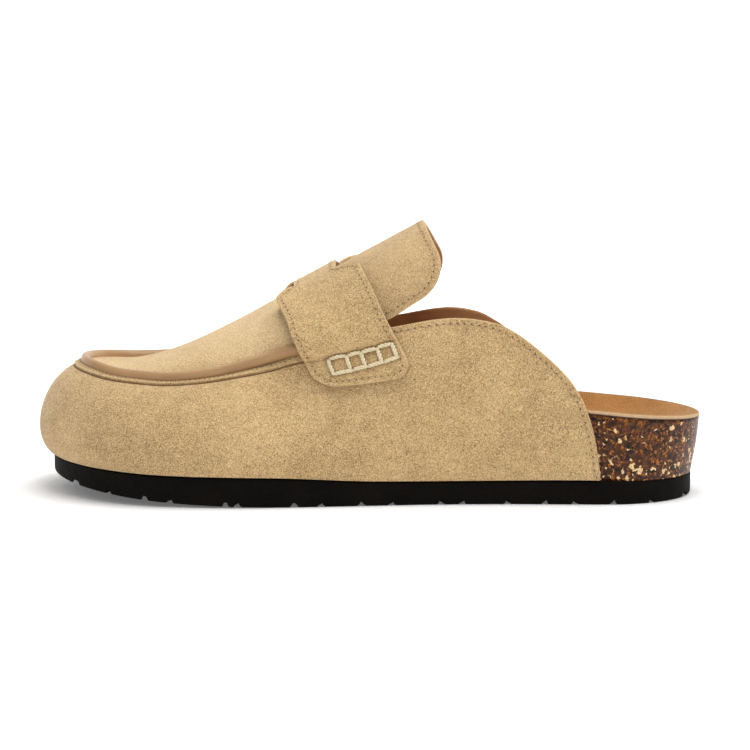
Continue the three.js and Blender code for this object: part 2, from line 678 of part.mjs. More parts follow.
// Points across the arch from the outer side to the inner, for a place back along the instep line.
function archRow(back, steps) {
  const half = (side) => steps.map((t) => archPoint(back, side, t));
  return [...half(-1), ...half(1).slice(0, -1).reverse()];
}

// The sides of the tongue stop just above the top edge of the quarters.
function tongueGeometry() {
  const edge = 0.06;
  const front = SPLIT_BACK - GAP * 1.5;
  const stops = [0, 0.02, 0.07, 0.15, 0.25, 0.35, 0.5, 0.68, 0.84, 1];
  const rows = stops.map((share) => {
    const back = share * front;
    const inside = Math.max(0, 1 - back / TONGUE_CORNER);
    const corner = (TONGUE_CORNER * (1 - Math.sqrt(1 - inside ** 2))) / (TONGUE_HEIGHT - TOE_HEIGHT);
    const low = edge + corner * 1.25;
    return archRow(back, [0, 0.08, 0.2, 0.34, 0.5, 0.66, 0.82, 1].map((s) => low + s * (1 - low)));
  });
  const sheet = joinSheets([gridSheet(rows)]);
  return thicken(sheet.points, sheet.faces, TONGUE_THICKNESS);
}

// The strap's grid: a column for each place from its front edge to its back edge.
function strapGeometry() {
  const stops = [0, 0.015, 0.05, 0.11, 0.2, 0.34, 0.5, 0.66, 0.8, 0.89, 0.95, 0.985, 1];
  const steps = [0.1, 0.22, 0.36, 0.46, 0.53, 0.6, 0.67, 0.74, 0.87, 1];
  const notch = (STRAP_WIDTH - STRAP_WAIST) / 2;
  const columns = stops.map((stop) => {
    const fromEdge = Math.min(stop, 1 - stop) * STRAP_WIDTH;
    const inside = Math.max(0, 1 - fromEdge / TAB_CORNER);
    const reach = TAB_DROP + TAB_SLANT * stop - TAB_CORNER * (1 - Math.sqrt(1 - inside ** 2));
    const half = (side) => {
      const arch = steps.map((t) => {
        const cut = notch * smoothstep(SHOULDER, WAIST_FROM, t);
        const from = INSTEP_RUN - cut * FRONT_NOTCH;
        const to = STRAP_SETBACK + cut * (2 - FRONT_NOTCH);
        return archPoint(THREE.MathUtils.lerp(from, to, stop), side, t);
      });
      const seam = archPoint(THREE.MathUtils.lerp(INSTEP_RUN, STRAP_SETBACK, stop), side, 0);
      const tab = [1, 0.75, 0.5, 0.25, 0].map((s) => {
        const at = seam.clone().addScaledVector(archUp, -reach * s);
        return wallPoint(at.x, at.z, side);
      });
      return [...tab, ...arch];
    };
    return [...half(-1), ...half(1).slice(0, -1).reverse()];
  });
  const sheet = joinSheets([gridSheet(columns.reverse())]);
  const lift = GAP * 1.5 + STRAP_THICKNESS;
  return thicken(sheet.points, sheet.faces, STRAP_THICKNESS, { raise: () => lift, lift });
}

// The piping: a bead in the valley of the apron seam, from one side of the strap round the toe to the other.
function pipingGeometry() {
  const beside = WALL_STEPS[WALL_STEPS.length - 2];
  const rings = [];
  for (let row = SPLIT_ROW + 1; row <= LAST_ROW - SPLIT_ROW - 1 + 1e-9; row += 0.5) {
    const seam = upperPoint(row, 1);
    const wall = upperPoint(row, beside).sub(seam);
    const apron = upperPoint(row, APRON_STEPS[1]).sub(seam);
    const across = apron.clone().normalize().sub(wall.clone().normalize()).normalize();
    const tangent = upperPoint(row + 0.02, 1).sub(upperPoint(row - 0.02, 1));
    const normal = across.clone().cross(tangent).normalize();
    const onSheet = (way) => {
      const reach = Math.min(PIPING_WIDTH / 2, way.length() * 0.8);
      return seam.clone().addScaledVector(way.clone().normalize(), reach).addScaledVector(normal, GAP * 1.6);
    };
    const [outer, inner] = [onSheet(wall), onSheet(apron)];
    const middle = outer.clone().lerp(inner, 0.5);
    const half = inner.clone().sub(outer).multiplyScalar(0.5);
    const bead = [0.1, 0.3, 0.5, 0.7, 0.9].map((s) =>
      middle.clone().addScaledVector(half, -Math.cos(s * Math.PI))
        .addScaledVector(normal, Math.sin(s * Math.PI) * PIPING_HEIGHT),
    );
    rings.push([outer, ...bead, inner, seam.clone().addScaledVector(normal, GAP * 1.6)]);
  }
  const count = rings[0].length;
  const faces = [];
  for (let r = 0; r + 1 < rings.length; r++) {
    faces.push(...stitchRows(r * count, (r + 1) * count, count, true, true));
  }
  const last = (rings.length - 1) * count;
  const seamAt = count - 1;
  for (let i = 0; i + 2 < count; i++) {
    faces.push([seamAt, i + 1, i], [last + seamAt, last + i, last + i + 1]);
  }
  return toGeometry(rings.flat(), faces);
}

const room = upperRoom();
const clearOfUpper = (geometry) => fromSolid(toSolid(geometry).subtract(room));

const MATERIALS = {
  suede: { color: 0xcda873, roughness: 0.95, metalness: 0 },
  piping: { color: 0xb68d5c, roughness: 0.5, metalness: 0 },
  cork: { color: 0x6a4630, roughness: 0.35, metalness: 0 },
  insole: { color: 0xb98a50, roughness: 0.95, metalness: 0 },
  foam: { color: 0x15130f, roughness: 0.8, metalness: 0 },
};

function piece(name, geometry, finish) {
  const mesh = new THREE.Mesh(geometry, new THREE.MeshStandardMaterial(MATERIALS[finish]));
  mesh.name = name;
  return mesh;
}

const shoe = new THREE.Group();
shoe.add(
  piece("outsole", outsoleGeometry(), "foam"),
  piece("footbed", clearOfUpper(footbedGeometry()), "cork"),
  piece("insole", clearOfUpper(insoleGeometry()), "insole"),
  piece("upper", upperGeometry(), "suede"),
  piece("tongue", tongueGeometry(), "suede"),
  piece("strap", strapGeometry(), "suede"),
  piece("piping", pipingGeometry(), "piping"),
);

// The origin is on the floor, under the middle of the shoe.
const bounds = new THREE.Box3().setFromObject(shoe);
const middle = bounds.getCenter(new THREE.Vector3());
shoe.position.set(-middle.x, -middle.y, -bounds.min.z);

const part = new THREE.Group();
part.add(shoe);

export default part;
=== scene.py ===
"""Looks of a backless suede loafer clog: upper, piping, strap, tongue, cork footbed and foam sole.

The shapes are worked out in millimetres from the same tables as the solids, at a higher resolution, and
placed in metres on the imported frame.
"""

import logging
import math
from dataclasses import dataclass
from enum import Enum
from typing import Callable, Sequence

import bpy
import numpy as np
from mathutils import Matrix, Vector

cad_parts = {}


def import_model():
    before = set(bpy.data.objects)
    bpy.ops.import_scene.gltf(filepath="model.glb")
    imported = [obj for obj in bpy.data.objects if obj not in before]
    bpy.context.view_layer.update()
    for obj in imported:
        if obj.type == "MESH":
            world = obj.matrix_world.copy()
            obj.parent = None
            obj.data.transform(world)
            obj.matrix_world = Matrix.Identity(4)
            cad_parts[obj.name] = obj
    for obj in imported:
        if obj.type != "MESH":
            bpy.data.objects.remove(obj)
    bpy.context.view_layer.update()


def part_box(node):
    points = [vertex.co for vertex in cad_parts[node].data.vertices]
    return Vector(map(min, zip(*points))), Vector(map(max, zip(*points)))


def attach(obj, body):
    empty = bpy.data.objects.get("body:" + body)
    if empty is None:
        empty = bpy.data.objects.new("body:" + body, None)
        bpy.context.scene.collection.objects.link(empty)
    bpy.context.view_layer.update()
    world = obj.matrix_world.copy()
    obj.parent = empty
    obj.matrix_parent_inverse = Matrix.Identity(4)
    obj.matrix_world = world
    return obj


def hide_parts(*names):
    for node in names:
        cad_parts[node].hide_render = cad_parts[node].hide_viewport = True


LOG = logging.getLogger("clog")
MM = 0.001
Array = np.ndarray


class Side(Enum):
    """The two long sides of the shoe, by the sign of Y."""

    OUTER = -1
    INNER = 1


def smoothstep(low: float, high: float, value: Array | float) -> Array:
    """Eases from 0 at low to 1 at high.

    Args:
        low: where the step starts.
        high: where the step ends.
        value: one number or an array.

    Returns:
        The eased value, between 0 and 1.
    """
    s = np.clip((np.asarray(value, float) - low) / (high - low), 0.0, 1.0)
    return s * s * (3.0 - 2.0 * s)


def lookup(keys: Sequence[float], values: Sequence[float], at: Array | float) -> Array:
    """Reads a smooth curve through the rows of a table.

    Args:
        keys: the rows' places, rising or falling.
        values: the rows' values.
        at: the places to read.

    Returns:
        The curve's values there.
    """
    k, v = np.asarray(keys, float), np.asarray(values, float)
    if k[0] > k[-1]:
        k, v = k[::-1], v[::-1]
    last = len(k) - 1
    before, after = np.maximum(np.arange(last + 1) - 1, 0), np.minimum(np.arange(last + 1) + 1, last)
    slope = (v[after] - v[before]) / (k[after] - k[before])
    at = np.asarray(at, float)
    i = np.clip(np.searchsorted(k, at, side="right") - 1, 0, last - 1)
    span = k[i + 1] - k[i]
    s = np.clip((at - k[i]) / span, 0.0, 1.0)
    return (
        v[i] * (2 * s**3 - 3 * s**2 + 1)
        + slope[i] * span * (s**3 - 2 * s**2 + s)
        + v[i + 1] * (3 * s**2 - 2 * s**3)
        + slope[i + 1] * span * (s**3 - s**2)
    )


def unit(v: Array) -> Array:
    """Scales each vector of an array to length 1."""
    return v / np.maximum(np.linalg.norm(v, axis=-1, keepdims=True), 1e-9)


def bezier(points: Sequence[Array], t: Array) -> Array:
    """Evaluates cubic Bezier curves.

    Args:
        points: four arrays of points.
        t: a place on each curve, from 0 to 1.

    Returns:
        One point for each curve.
    """
    a, b, c, d = points
    t = np.asarray(t, float)[..., None]
    u = 1.0 - t
    return a * u**3 + b * (3 * u * u * t) + c * (3 * u * t * t) + d * t**3


def xyz(x: Array | float, y: Array | float, z: Array | float) -> Array:
    """Stacks coordinates into points."""
    return np.stack(np.broadcast_arrays(np.asarray(x, float), y, z), axis=-1)


# along the shoe from the heel; centre line; width between heel's and ball's
OUTLINE = np.array([
    (0.0, 0.0, -0.03), (0.1, -0.006, 0.0), (0.2, -0.012, 0.0), (0.3, -0.02, 0.0), (0.4, -0.032, 0.08),
    (0.5, -0.037, 0.33), (0.6, -0.028, 0.69), (0.68, -0.018, 0.92), (0.75, -0.006, 1.0), (0.82, 0.012, 0.98),
    (0.9, 0.045, 0.95), (1.0, 0.09, 0.93)])
# along; sole's thickness; cork under the foot; rim on the outer and on the inner side
SIDE_VIEW = np.array([
    (0.0, 0.98, 1.0, 0.66, 0.66), (0.1, 1.0, 0.95, 0.85, 0.84), (0.2, 1.02, 0.95, 0.96, 0.98),
    (0.3, 1.0, 1.0, 0.86, 1.02), (0.4, 1.0, 1.0, 0.66, 0.96), (0.5, 1.05, 0.93, 0.5, 0.72),
    (0.6, 1.22, 0.72, 0.4, 0.46), (0.7, 1.24, 0.64, 0.3, 0.33), (0.85, 1.08, 0.6, 0.26, 0.28),
    (1.0, 0.84, 0.62, 0.3, 0.3)])
# back along the instep; rise of the arch's foot; half its width
ARCH = np.array([
    (0.0, 1.6, 0.545), (0.22, 1.28, 0.565), (0.455, 0.875, 0.57), (0.73, 0.6, 0.55), (1.04, 0.355, 0.525)])
# foot, seam, out, in, rise out, rise in, ridge, top, belly, up, brow, drop
VAMP = np.array([
    (0.676, 0.668, -1.0, 1.01, 0.035, 0.17, 0.691, 0.326, 4.5, 13, 12, 7),
    (0.746, 0.73, -0.985, 1.02, -0.175, 0.015, 0.741, 0.211, 6, 12, 16, 4.5),
    (0.812, 0.791, -0.955, 1.02, -0.265, -0.055, 0.787, 0.115, 7.5, 10, 18, 3.5),
    (0.868, 0.841, -0.87, 1.0, -0.24, -0.08, 0.829, 0.045, 8.5, 8.5, 19, 3.5),
    (0.916, 0.883, -0.72, 0.93, -0.18, -0.08, 0.86, 0.004, 9, 7, 19.5, 4),
    (0.958, 0.9155, -0.5, 0.8, -0.085, -0.05, 0.872, -0.008, 9.3, 6, 20, 4),
    (0.988, 0.9365, -0.2, 0.58, -0.02, -0.02, 0.872, -0.008, 9.4, 5.5, 20, 4),
    (1.0, 0.945, 0.19, 0.19, 0.0, 0.0, 0.872, -0.008, 9.4, 5.5, 20, 4)])
# along; height past the collar; lean
QUARTER = np.array([(0.1, 1.06, 1.5), (0.15, 1.06, 2.0), (0.255, 1.06, 3.0), (0.36, 1.05, 4.5)])
# along; height, from the sole's top to the collar's
COLLAR_EDGE = np.array([
    (0.4605, 0.943), (0.395, 0.992), (0.35, 1.0), (0.305, 0.97), (0.275, 0.912), (0.245, 0.82),
    (0.215, 0.71), (0.193, 0.607), (0.175, 0.475), (0.16, 0.28), (0.149, 0.0)])
CORNER_ROW = 5


@dataclass
class Last:
    """The form of the shoe, in millimetres, with x = 0 halfway along the sole.

    Every method takes arrays, and gives one value or point for each entry.
    """

    sole_length: float = 260.0
    ball_width: float = 100.0
    heel_width: float = 70.0
    heel_round: float = 36.0
    toe_round: float = 56.0
    sole_thickness: float = 9.0
    toe_spring: float = 7.0
    spring_start: float = 0.6
    cork: float = 12.0
    cup: float = 15.0
    rim_flare: float = 3.0
    rim_land: float = 2.2
    footbed_inset: float = 1.9
    wall: float = 2.4
    toe_height: float = 52.0
    collar_height: float = 71.6
    tongue_height: float = 109.0
    tongue_tip: float = 0.4175
    pitch: float = math.radians(28.3)
    seam_width: float = 60.0
    strap_width: float = 35.0
    strap_setback: float = 29.3
    gap: float = 0.3

    def __post_init__(self) -> None:
        """Works out the sections of the upper."""
        self.run = self.strap_setback + self.strap_width
        self.split_back = self.strap_setback + self.strap_width / 2
        self.direction = np.array([math.cos(self.pitch), 0.0, math.sin(self.pitch)])
        self.arch_up = np.array([-math.sin(self.pitch), 0.0, math.cos(self.pitch)])
        outer, inner = self._sections(Side.OUTER), self._sections(Side.INNER)
        self.sections = np.array(outer + inner[:-1][::-1])
        self.split = len(QUARTER) + 1
        self.toe = len(outer) - 1
        self.end = len(self.sections) - 1

    # the sole
    def x(self, along: Array) -> Array:
        """Place along X of a share of the length from the heel."""
        return (0.5 - np.asarray(along, float)) * self.sole_length

    def along(self, x: Array) -> Array:
        """Share of the length, from the heel, of a place along X."""
        return np.clip(0.5 - np.asarray(x, float) / self.sole_length, 0.0, 1.0)

    def round_end(self, along: Array) -> Array:
        """How far the two round ends narrow the outline."""
        heel = np.minimum(along * self.sole_length / self.heel_round, 1.0)
        toe = np.minimum((1.0 - along) * self.sole_length / self.toe_round, 1.0)
        heel_part = np.maximum(0, 1 - (1 - heel) ** 2)
        return np.sqrt(heel_part) * np.sqrt(np.maximum(0, 1 - np.abs(1 - toe) ** 2.2))

    def centre(self, along: Array) -> Array:
        """Y of the sole's middle line."""
        return lookup(OUTLINE[:, 0], OUTLINE[:, 1], along) * self.ball_width

    def bottom(self, along: Array) -> Array:
        """Height of the sole's underside, with the toe spring."""
        lift = np.maximum(0.0, np.asarray(along) - self.spring_start) / (1 - self.spring_start)
        return self.toe_spring * lift**2

    def top(self, along: Array) -> Array:
        """Height of the sole's upper face."""
        return self.bottom(along) + self.sole_thickness * lookup(SIDE_VIEW[:, 0], SIDE_VIEW[:, 1], along)

    def inset(self, along: Array) -> Array:
        """How far the footbed stands in from the sole's outline, under the upper."""
        return self.footbed_inset * smoothstep(0.07, 0.15, along)

    def outline(self, turn: Array, offset: Array | float = 0.0) -> Array:
        """Points of the outline.

        Args:
            turn: 0 at the heel, along the outer side to 0.5 at the toe and back along the inner side.
            offset: how far to move each point outwards.

        Returns:
            Points at height 0.
        """

        def at(t: Array) -> Array:
            """The plain outline."""
            t = np.mod(t, 1.0)
            along = (1 - np.cos(t * 2 * np.pi)) / 2
            ball = lookup(OUTLINE[:, 0], OUTLINE[:, 2], along)
            half = (self.heel_width + (self.ball_width - self.heel_width) * ball) * self.round_end(along) / 2
            return xyz(self.x(along), self.centre(along) + np.where(t <= 0.5, -half, half), 0.0)

        turn = np.asarray(turn, float)
        tangent = at(turn + 1e-3) - at(turn - 1e-3)
        outward = unit(xyz(-tangent[..., 1], tangent[..., 0], 0.0))
        return at(turn) + outward * np.asarray(offset, float)[..., None]

    def ring(self, count: int, offset: Callable, height: Callable, depth: float = 0.0) -> Array:
        """One closed ring of outline points.

        Args:
            count: how many points.
            offset: a function of the place along, giving how far outwards.
            height: a function of the place along and the side's sign, giving Z.
            depth: how far the ring has closed in on the middle line.

        Returns:
            The ring's points.
        """
        turn = np.arange(count) / count
        along = (1 - np.cos(turn * 2 * np.pi)) / 2
        side = np.where(turn <= 0.5, -1, 1)
        p = self.outline(turn, offset(along))
        first, last = self.heel_width / 2 / self.sole_length, 1 - self.ball_width / 2 / self.sole_length
        inside = np.clip(along, first, last)
        p = p * (1 - depth) + xyz(self.x(inside), self.centre(inside), 0.0) * depth
        p[:, 2] = height(along, side)
        return p

    def cork_height(self, along: Array, side: Array, depth: float) -> Array:
        """Height of the footbed's cupped face, from 0 at its rim to 1 at the middle."""
        under = self.top(along) + self.gap + self.cork * lookup(SIDE_VIEW[:, 0], SIDE_VIEW[:, 2], along)
        outer, inner = (lookup(SIDE_VIEW[:, 0], SIDE_VIEW[:, n], along) for n in (3, 4))
        return under + self.cup * np.where(side < 0, outer, inner) * (1 - depth) ** 2.4

    def rim(self, along: Array) -> Array:
        """How far the footbed's rim stands out of the sole's outline."""
        return self.rim_flare * (1 - smoothstep(0.0, 0.15, along)) - self.inset(along)

    # the upper
    def rise(self, share: Array) -> Array:
        """Height of a share of the way from the toe's height to the collar's."""
        return self.toe_height + (self.collar_height - self.toe_height) * share

    def instep(self, back: Array) -> Array:
        """Points of the instep line, from the tongue's tip forwards."""
        tip = np.array([float(self.x(self.tongue_tip)), 0.0, self.tongue_height])
        return tip - self.direction * np.asarray(back, float)[..., None]

    def arch_curve(self, back: Array, side: Side) -> list[Array]:
        """The four points of the arch's curve on one side, from its foot up to the instep line."""
        share = np.asarray(back, float) / self.run
        ridge = self.instep(back)
        half = lookup(ARCH[:, 0], ARCH[:, 2], share) * self.seam_width * side.value
        drop = (ridge[..., 2] - self.rise(lookup(ARCH[:, 0], ARCH[:, 1], share))) / math.cos(self.pitch)
        foot = ridge - self.arch_up * drop[..., None]
        rail = foot + self.arch_up * (drop * 0.52)[..., None]
        return [
            xyz(foot[..., 0], half, foot[..., 2]),
            xyz(rail[..., 0], half * 0.98, rail[..., 2]),
            xyz(ridge[..., 0], half * 0.56, ridge[..., 2]),
            ridge,
        ]

    def _foot(self, along: float, side: Side) -> Array:
        """The point on the sole where a section of the wall starts."""
        half = math.acos(1 - 2 * along) / (2 * math.pi)
        overhang = self.wall + self.gap * 1.6 - self.inset(along)
        p = self.outline(half if side is Side.OUTER else 1 - half, overhang)
        return xyz(p[0], p[1], self.top(along) + self.gap * 1.5)

    @staticmethod
    def _section(foot: Array, seam: Array, shape: Sequence[float], apron: list[Array]) -> Array:
        """The seven points of one section.

        Args:
            foot: where the wall starts.
            seam: where it ends.
            shape: belly and up for the curve at the foot, brow and drop for the one at the seam.
            apron: the three further points of the apron's curve.

        Returns:
            The points, from the foot to the ridge.
        """
        belly, up, brow, drop = shape
        outward = unit((foot - seam) * (1, 1, 0))
        low = foot + outward * belly + np.array([0, 0, up])
        high = seam + outward * brow - np.array([0, 0, drop])
        return np.array([foot, low, high, seam, *apron])

    def _sections(self, side: Side) -> list[Array]:
        """All the sections of one side, from the quarter's back to the toe."""
        rows = []
        nothing = [np.full(3, np.nan)] * 3
        for along, high, lean in QUARTER:
            foot = self._foot(along, side)
            foot[0] = self.x(along)
            top = np.array([foot[0], foot[1] - side.value * lean, self.collar_height * high])
            rows.append(self._section(foot, top, (3, 18, 2.5, 20), nothing))
        for back in (self.strap_setback, self.split_back, self.run * 1.04):
            seam, *apron = self.arch_curve(np.array(back), side)
            foot = self._foot(float(self.along(seam[0])), side)
            foot[0] = seam[0]
            rows.append(self._section(foot, seam, (3.5, 16, 4, 17), apron))
        for foot_at, at, out, into, rise_out, rise_in, ridge_at, top, *shape in VAMP:
            across, rise = (out, rise_out) if side is Side.OUTER else (into, rise_in)
            seam = np.array([float(self.x(at)), across * self.seam_width / 2, self.rise(rise)])
            lean = 0.03 * self.ball_width * float(smoothstep(0.5, 0.9, ridge_at))
            high = self.toe_height + (self.tongue_height - self.toe_height) * top
            ridge = np.array([float(self.x(ridge_at)), lean, high])
            flat = (seam - ridge) * (1, 1, 0)
            height = ridge[2] - seam[2]
            steep = min(max(height / 20, 0), 1)
            low = seam - flat * (0.3 * (1 - steep) + 0.03) + np.array([0, 0, height * 0.5])
            foot = self._foot(foot_at, side)
            rows.append(self._section(foot, seam, shape, [low, ridge + flat * 0.5, ridge]))
        return rows

    def control(self, row: Array, n: int) -> Array:
        """One control point of the section at each place between the rows.

        Args:
            row: places, where whole numbers are the rows themselves.
            n: the number of the point in its section.

        Returns:
            One point for each place.
        """
        low = self.split if n > 3 else 0
        row = np.asarray(row, float)
        i = np.minimum(np.floor(row).astype(int), self.end - 1)
        s = (row - i)[..., None]
        a, b, c, d = (self.sections[np.clip(i + k, low, self.end - low), n] for k in (-1, 0, 1, 2))

        def slope(before: Array, at: Array, after: Array) -> Array:
            """The way through a point, or none where it is doubled."""
            still = (np.abs(at - before).max(-1) < 1e-9) | (np.abs(after - at).max(-1) < 1e-9)
            return (after - before) * np.where(still, 0.0, 0.5)[..., None]

        return (
            b * (2 * s**3 - 3 * s**2 + 1)
            + slope(a, b, c) * (s**3 - 2 * s**2 + s)
            + c * (3 * s**2 - 2 * s**3)
            + slope(b, c, d) * (s**3 - s**2)
        )

    def upper(self, row: Array, t: Array) -> Array:
        """The upper's outer face: up the wall for t from 0 to 1, and over the apron from 1 to 2."""
        row, t = np.broadcast_arrays(np.asarray(row, float), np.asarray(t, float))
        wall = bezier([self.control(row, n) for n in range(4)], np.clip(t, 0, 1))
        if np.all(t <= 1):
            return wall
        safe = np.clip(row, self.split, self.end - self.split)
        apron = bezier([self.control(safe, n) for n in range(3, 7)], np.clip(t - 1, 0, 1))
        return np.where((t <= 1)[..., None], wall, apron)

    def wall_at(self, x: Array, z: Array, side: Side) -> Array:
        """The wall's outer face at places in side view, behind the front of the strap."""
        x, z = np.broadcast_arrays(np.asarray(x, float), np.asarray(z, float))

        def bisect(low: Array, high: Array, is_low: Callable) -> Array:
            """The values at which is_low turns from True to False."""
            for _ in range(26):
                middle = (low + high) / 2
                below = is_low(middle)
                low, high = np.where(below, middle, low), np.where(below, high, middle)
            return (low + high) / 2

        zero = np.zeros_like(x, dtype=float)
        half = bisect(zero, zero + self.split + 1.5, lambda r: self.control(r, 0)[..., 0] > x)
        row = half if side is Side.OUTER else self.end - half
        t = bisect(zero, zero + 1.0, lambda s: self.upper(row, s)[..., 2] < z)
        return self.upper(row, t)

    def arch(self, back: Array, side: Side, t: Array) -> Array:
        """Points of the arch, on the upper where that reaches and on the arch's own curve behind it."""
        back, t = np.broadcast_arrays(np.asarray(back, float), np.asarray(t, float))
        low, high = np.full(back.shape, float(self.split)), np.full(back.shape, self.split + 2.0)
        for _ in range(26):
            middle = (low + high) / 2
            behind = (self.instep(0.0) - self.control(middle, 3)) @ self.direction < back
            low, high = np.where(behind, middle, low), np.where(behind, high, middle)
        row = low if side is Side.OUTER else self.end - low
        own = bezier(self.arch_curve(np.minimum(back, self.split_back), side), t)
        return np.where((back <= self.split_back)[..., None], own, self.upper(row, 1 + t))


def grid_quads(rows: int, columns: int, turned: bool = False) -> Array:
    """Quads of a grid of points, row after row.

    Args:
        rows: how many rows.
        columns: how many points a row has.
        turned: True to face the other way.

    Returns:
        An array of four point numbers for each quad.
    """
    r, c = np.meshgrid(np.arange(rows - 1), np.arange(columns - 1), indexing="ij")
    first = (r * columns + c).ravel()
    quads = np.stack([first, first + 1, first + columns + 1, first + columns], axis=1)
    return quads[:, ::-1] if turned else quads


def grid_normals(grid: Array) -> Array:
    """The normals of a grid of points, to the side its quads face."""
    return unit(np.cross(np.gradient(grid, axis=1), np.gradient(grid, axis=0)))


def loop_quads(rings: int, count: int) -> Array:
    """Quads between closed rings of outline points, facing out of the shoe as the rings go up."""
    r, c = np.meshgrid(np.arange(rings - 1), np.arange(count), indexing="ij")
    a, b = (r * count + c).ravel(), (r * count + (c + 1) % count).ravel()
    return np.stack([a, a + count, b + count, b], axis=1)


def bars(count: int, base: int, under: bool) -> Array:
    """Quads across the shoe that close its first or last ring."""
    i = np.arange(count // 2)
    quads = np.stack([i, i + 1, count - i - 1, (count - i) % count], axis=1) + base
    return quads if under else quads[:, ::-1]


@dataclass
class Skin:
    """A sheet of points and quads, in millimetres. A quad with a point twice is a triangle.

    Source gives, for each point, its number in the grids that the sheet was joined from.
    """

    points: Array
    quads: Array
    source: Array | None = None

    @classmethod
    def join(cls, grids: Sequence[tuple[Array, bool]]) -> "Skin":
        """Joins grids of points, given with True where one faces the other way, and welds them."""
        points, quads, base = [], [], 0
        for grid, turned in grids:
            points.append(grid.reshape(-1, 3))
            quads.append(grid_quads(grid.shape[0], grid.shape[1], turned) + base)
            base += len(points[-1])
        flat = np.concatenate(points)
        _, first, inverse = np.unique(np.round(flat, 3) + 0.0, axis=0, return_index=True, return_inverse=True)
        welded = inverse.ravel()[np.concatenate(quads)]
        alive = np.array([len(set(q)) > 2 for q in welded.tolist()])
        return cls(flat[first], welded[alive], first)

    def normals(self) -> Array:
        """The points' normals, weighted by area."""
        p = self.points[self.quads]
        n = np.cross(p[:, 2] - p[:, 0], p[:, 3] - p[:, 1])
        total = np.zeros_like(self.points)
        for k in range(4):
            np.add.at(total, self.quads[:, k], n)
        return unit(total)

    def border(self) -> Array:
        """The directed edges that only one face has."""
        edges = np.concatenate([self.quads[:, [k, (k + 1) % 4]] for k in range(4)])
        edges = edges[edges[:, 0] != edges[:, 1]]
        there = set(map(tuple, edges.tolist()))
        return np.array([e for e in edges.tolist() if (e[1], e[0]) not in there])

    def from_edge(self, keep: Callable, reach: float = 8.0) -> Array:
        """Distance of each point from the parts of the border that keep picks.

        Args:
            keep: a function of the border's points, giving True for those that count.
            reach: the largest distance given.

        Returns:
            One distance for each point.
        """
        border = self.border()
        middle = (self.points[border[:, 0]] + self.points[border[:, 1]]) / 2
        middle = middle[keep(middle)]
        result = np.full(len(self.points), reach)
        for start in range(0, len(self.points), 4000):
            block = self.points[start : start + 4000]
            gap = np.linalg.norm(block[:, None] - middle[None], axis=2).min(axis=1)
            result[start : start + 4000] = np.minimum(gap, reach)
        return result

    def contour(self, values: Array, level: float) -> tuple[Array, Array, Array]:
        """The line along which some values cross a level.

        Args:
            values: one for each point.
            level: the value on the line.

        Returns:
            Its points, their normals and the pairs of points that its edges join.
        """
        normals, high = self.normals(), values > level
        found: dict[tuple[int, int], int] = {}
        links = []
        mixed = self.quads[high[self.quads].any(axis=1) & ~high[self.quads].all(axis=1)]
        for quad in mixed.tolist():
            ring = list(dict.fromkeys(quad))
            cuts = [tuple(sorted(e)) for e in zip(ring, ring[1:] + ring[:1]) if high[e[0]] != high[e[1]]]
            for pair in zip(cuts[::2], cuts[1::2]):
                links.append([found.setdefault(cut, len(found)) for cut in pair])
        ends = np.array(list(found))
        share = ((level - values[ends[:, 0]]) / (values[ends[:, 1]] - values[ends[:, 0]]))[:, None]
        points = self.points[ends[:, 0]] * (1 - share) + self.points[ends[:, 1]] * share
        return points, unit(normals[ends[:, 0]] * (1 - share) + normals[ends[:, 1]] * share), np.array(links)

    def shell(
        self, thickness: float, rim: Array, steps: int = 6, out_of: Array | None = None
    ) -> tuple[Array, Array, Array]:
        """Gives the sheet a thickness to its back and a round rim.

        Args:
            thickness: in millimetres.
            rim: for each point, how round the rim is there, from 0 to 1.
            steps: quads across the rim.
            out_of: for each point the direction away from the back, if not its normal.

        Returns:
            Points, quads, and for each quad 0 on the front, 1 on the front half of the rim, 2 on its back
            half and 3 on the back. The first points are the sheet's own.
        """
        n, count = self.normals() if out_of is None else out_of, len(self.points)
        border = self.border()
        way = unit(self.points[border[:, 1]] - self.points[border[:, 0]])
        out = np.zeros_like(self.points)
        for k in (0, 1):
            np.add.at(out, border[:, k], np.cross(way, n[border[:, k]]))
        edge = np.unique(border)
        place = np.full(count, -1)
        place[edge] = np.arange(len(edge))
        out = unit(out[edge])
        layers = [self.points, self.points - n * thickness]
        angles = np.linspace(0, np.pi, steps + 1)[1:-1]
        for a in angles:
            bulge = out * (rim[edge] * thickness / 2 * math.sin(a))[:, None]
            layers.append(self.points[edge] + bulge - n[edge] * thickness / 2 * (1 - math.cos(a)))
        middle = [2 * count + k * len(edge) + place[border] for k in range(len(angles))]
        rows = [border, *middle, border + count]
        quads = [self.quads, self.quads[:, ::-1] + count]
        tags = [np.zeros(len(self.quads)), np.full(len(self.quads), 3)]
        for k, (a, b) in enumerate(zip(rows, rows[1:])):
            quads.append(np.stack([a[:, 1], a[:, 0], b[:, 0], b[:, 1]], axis=1))
            tags.append(np.full(len(border), 1 if k < steps / 2 else 2))
        return np.concatenate(layers), np.concatenate(quads), np.concatenate(tags).astype(int)


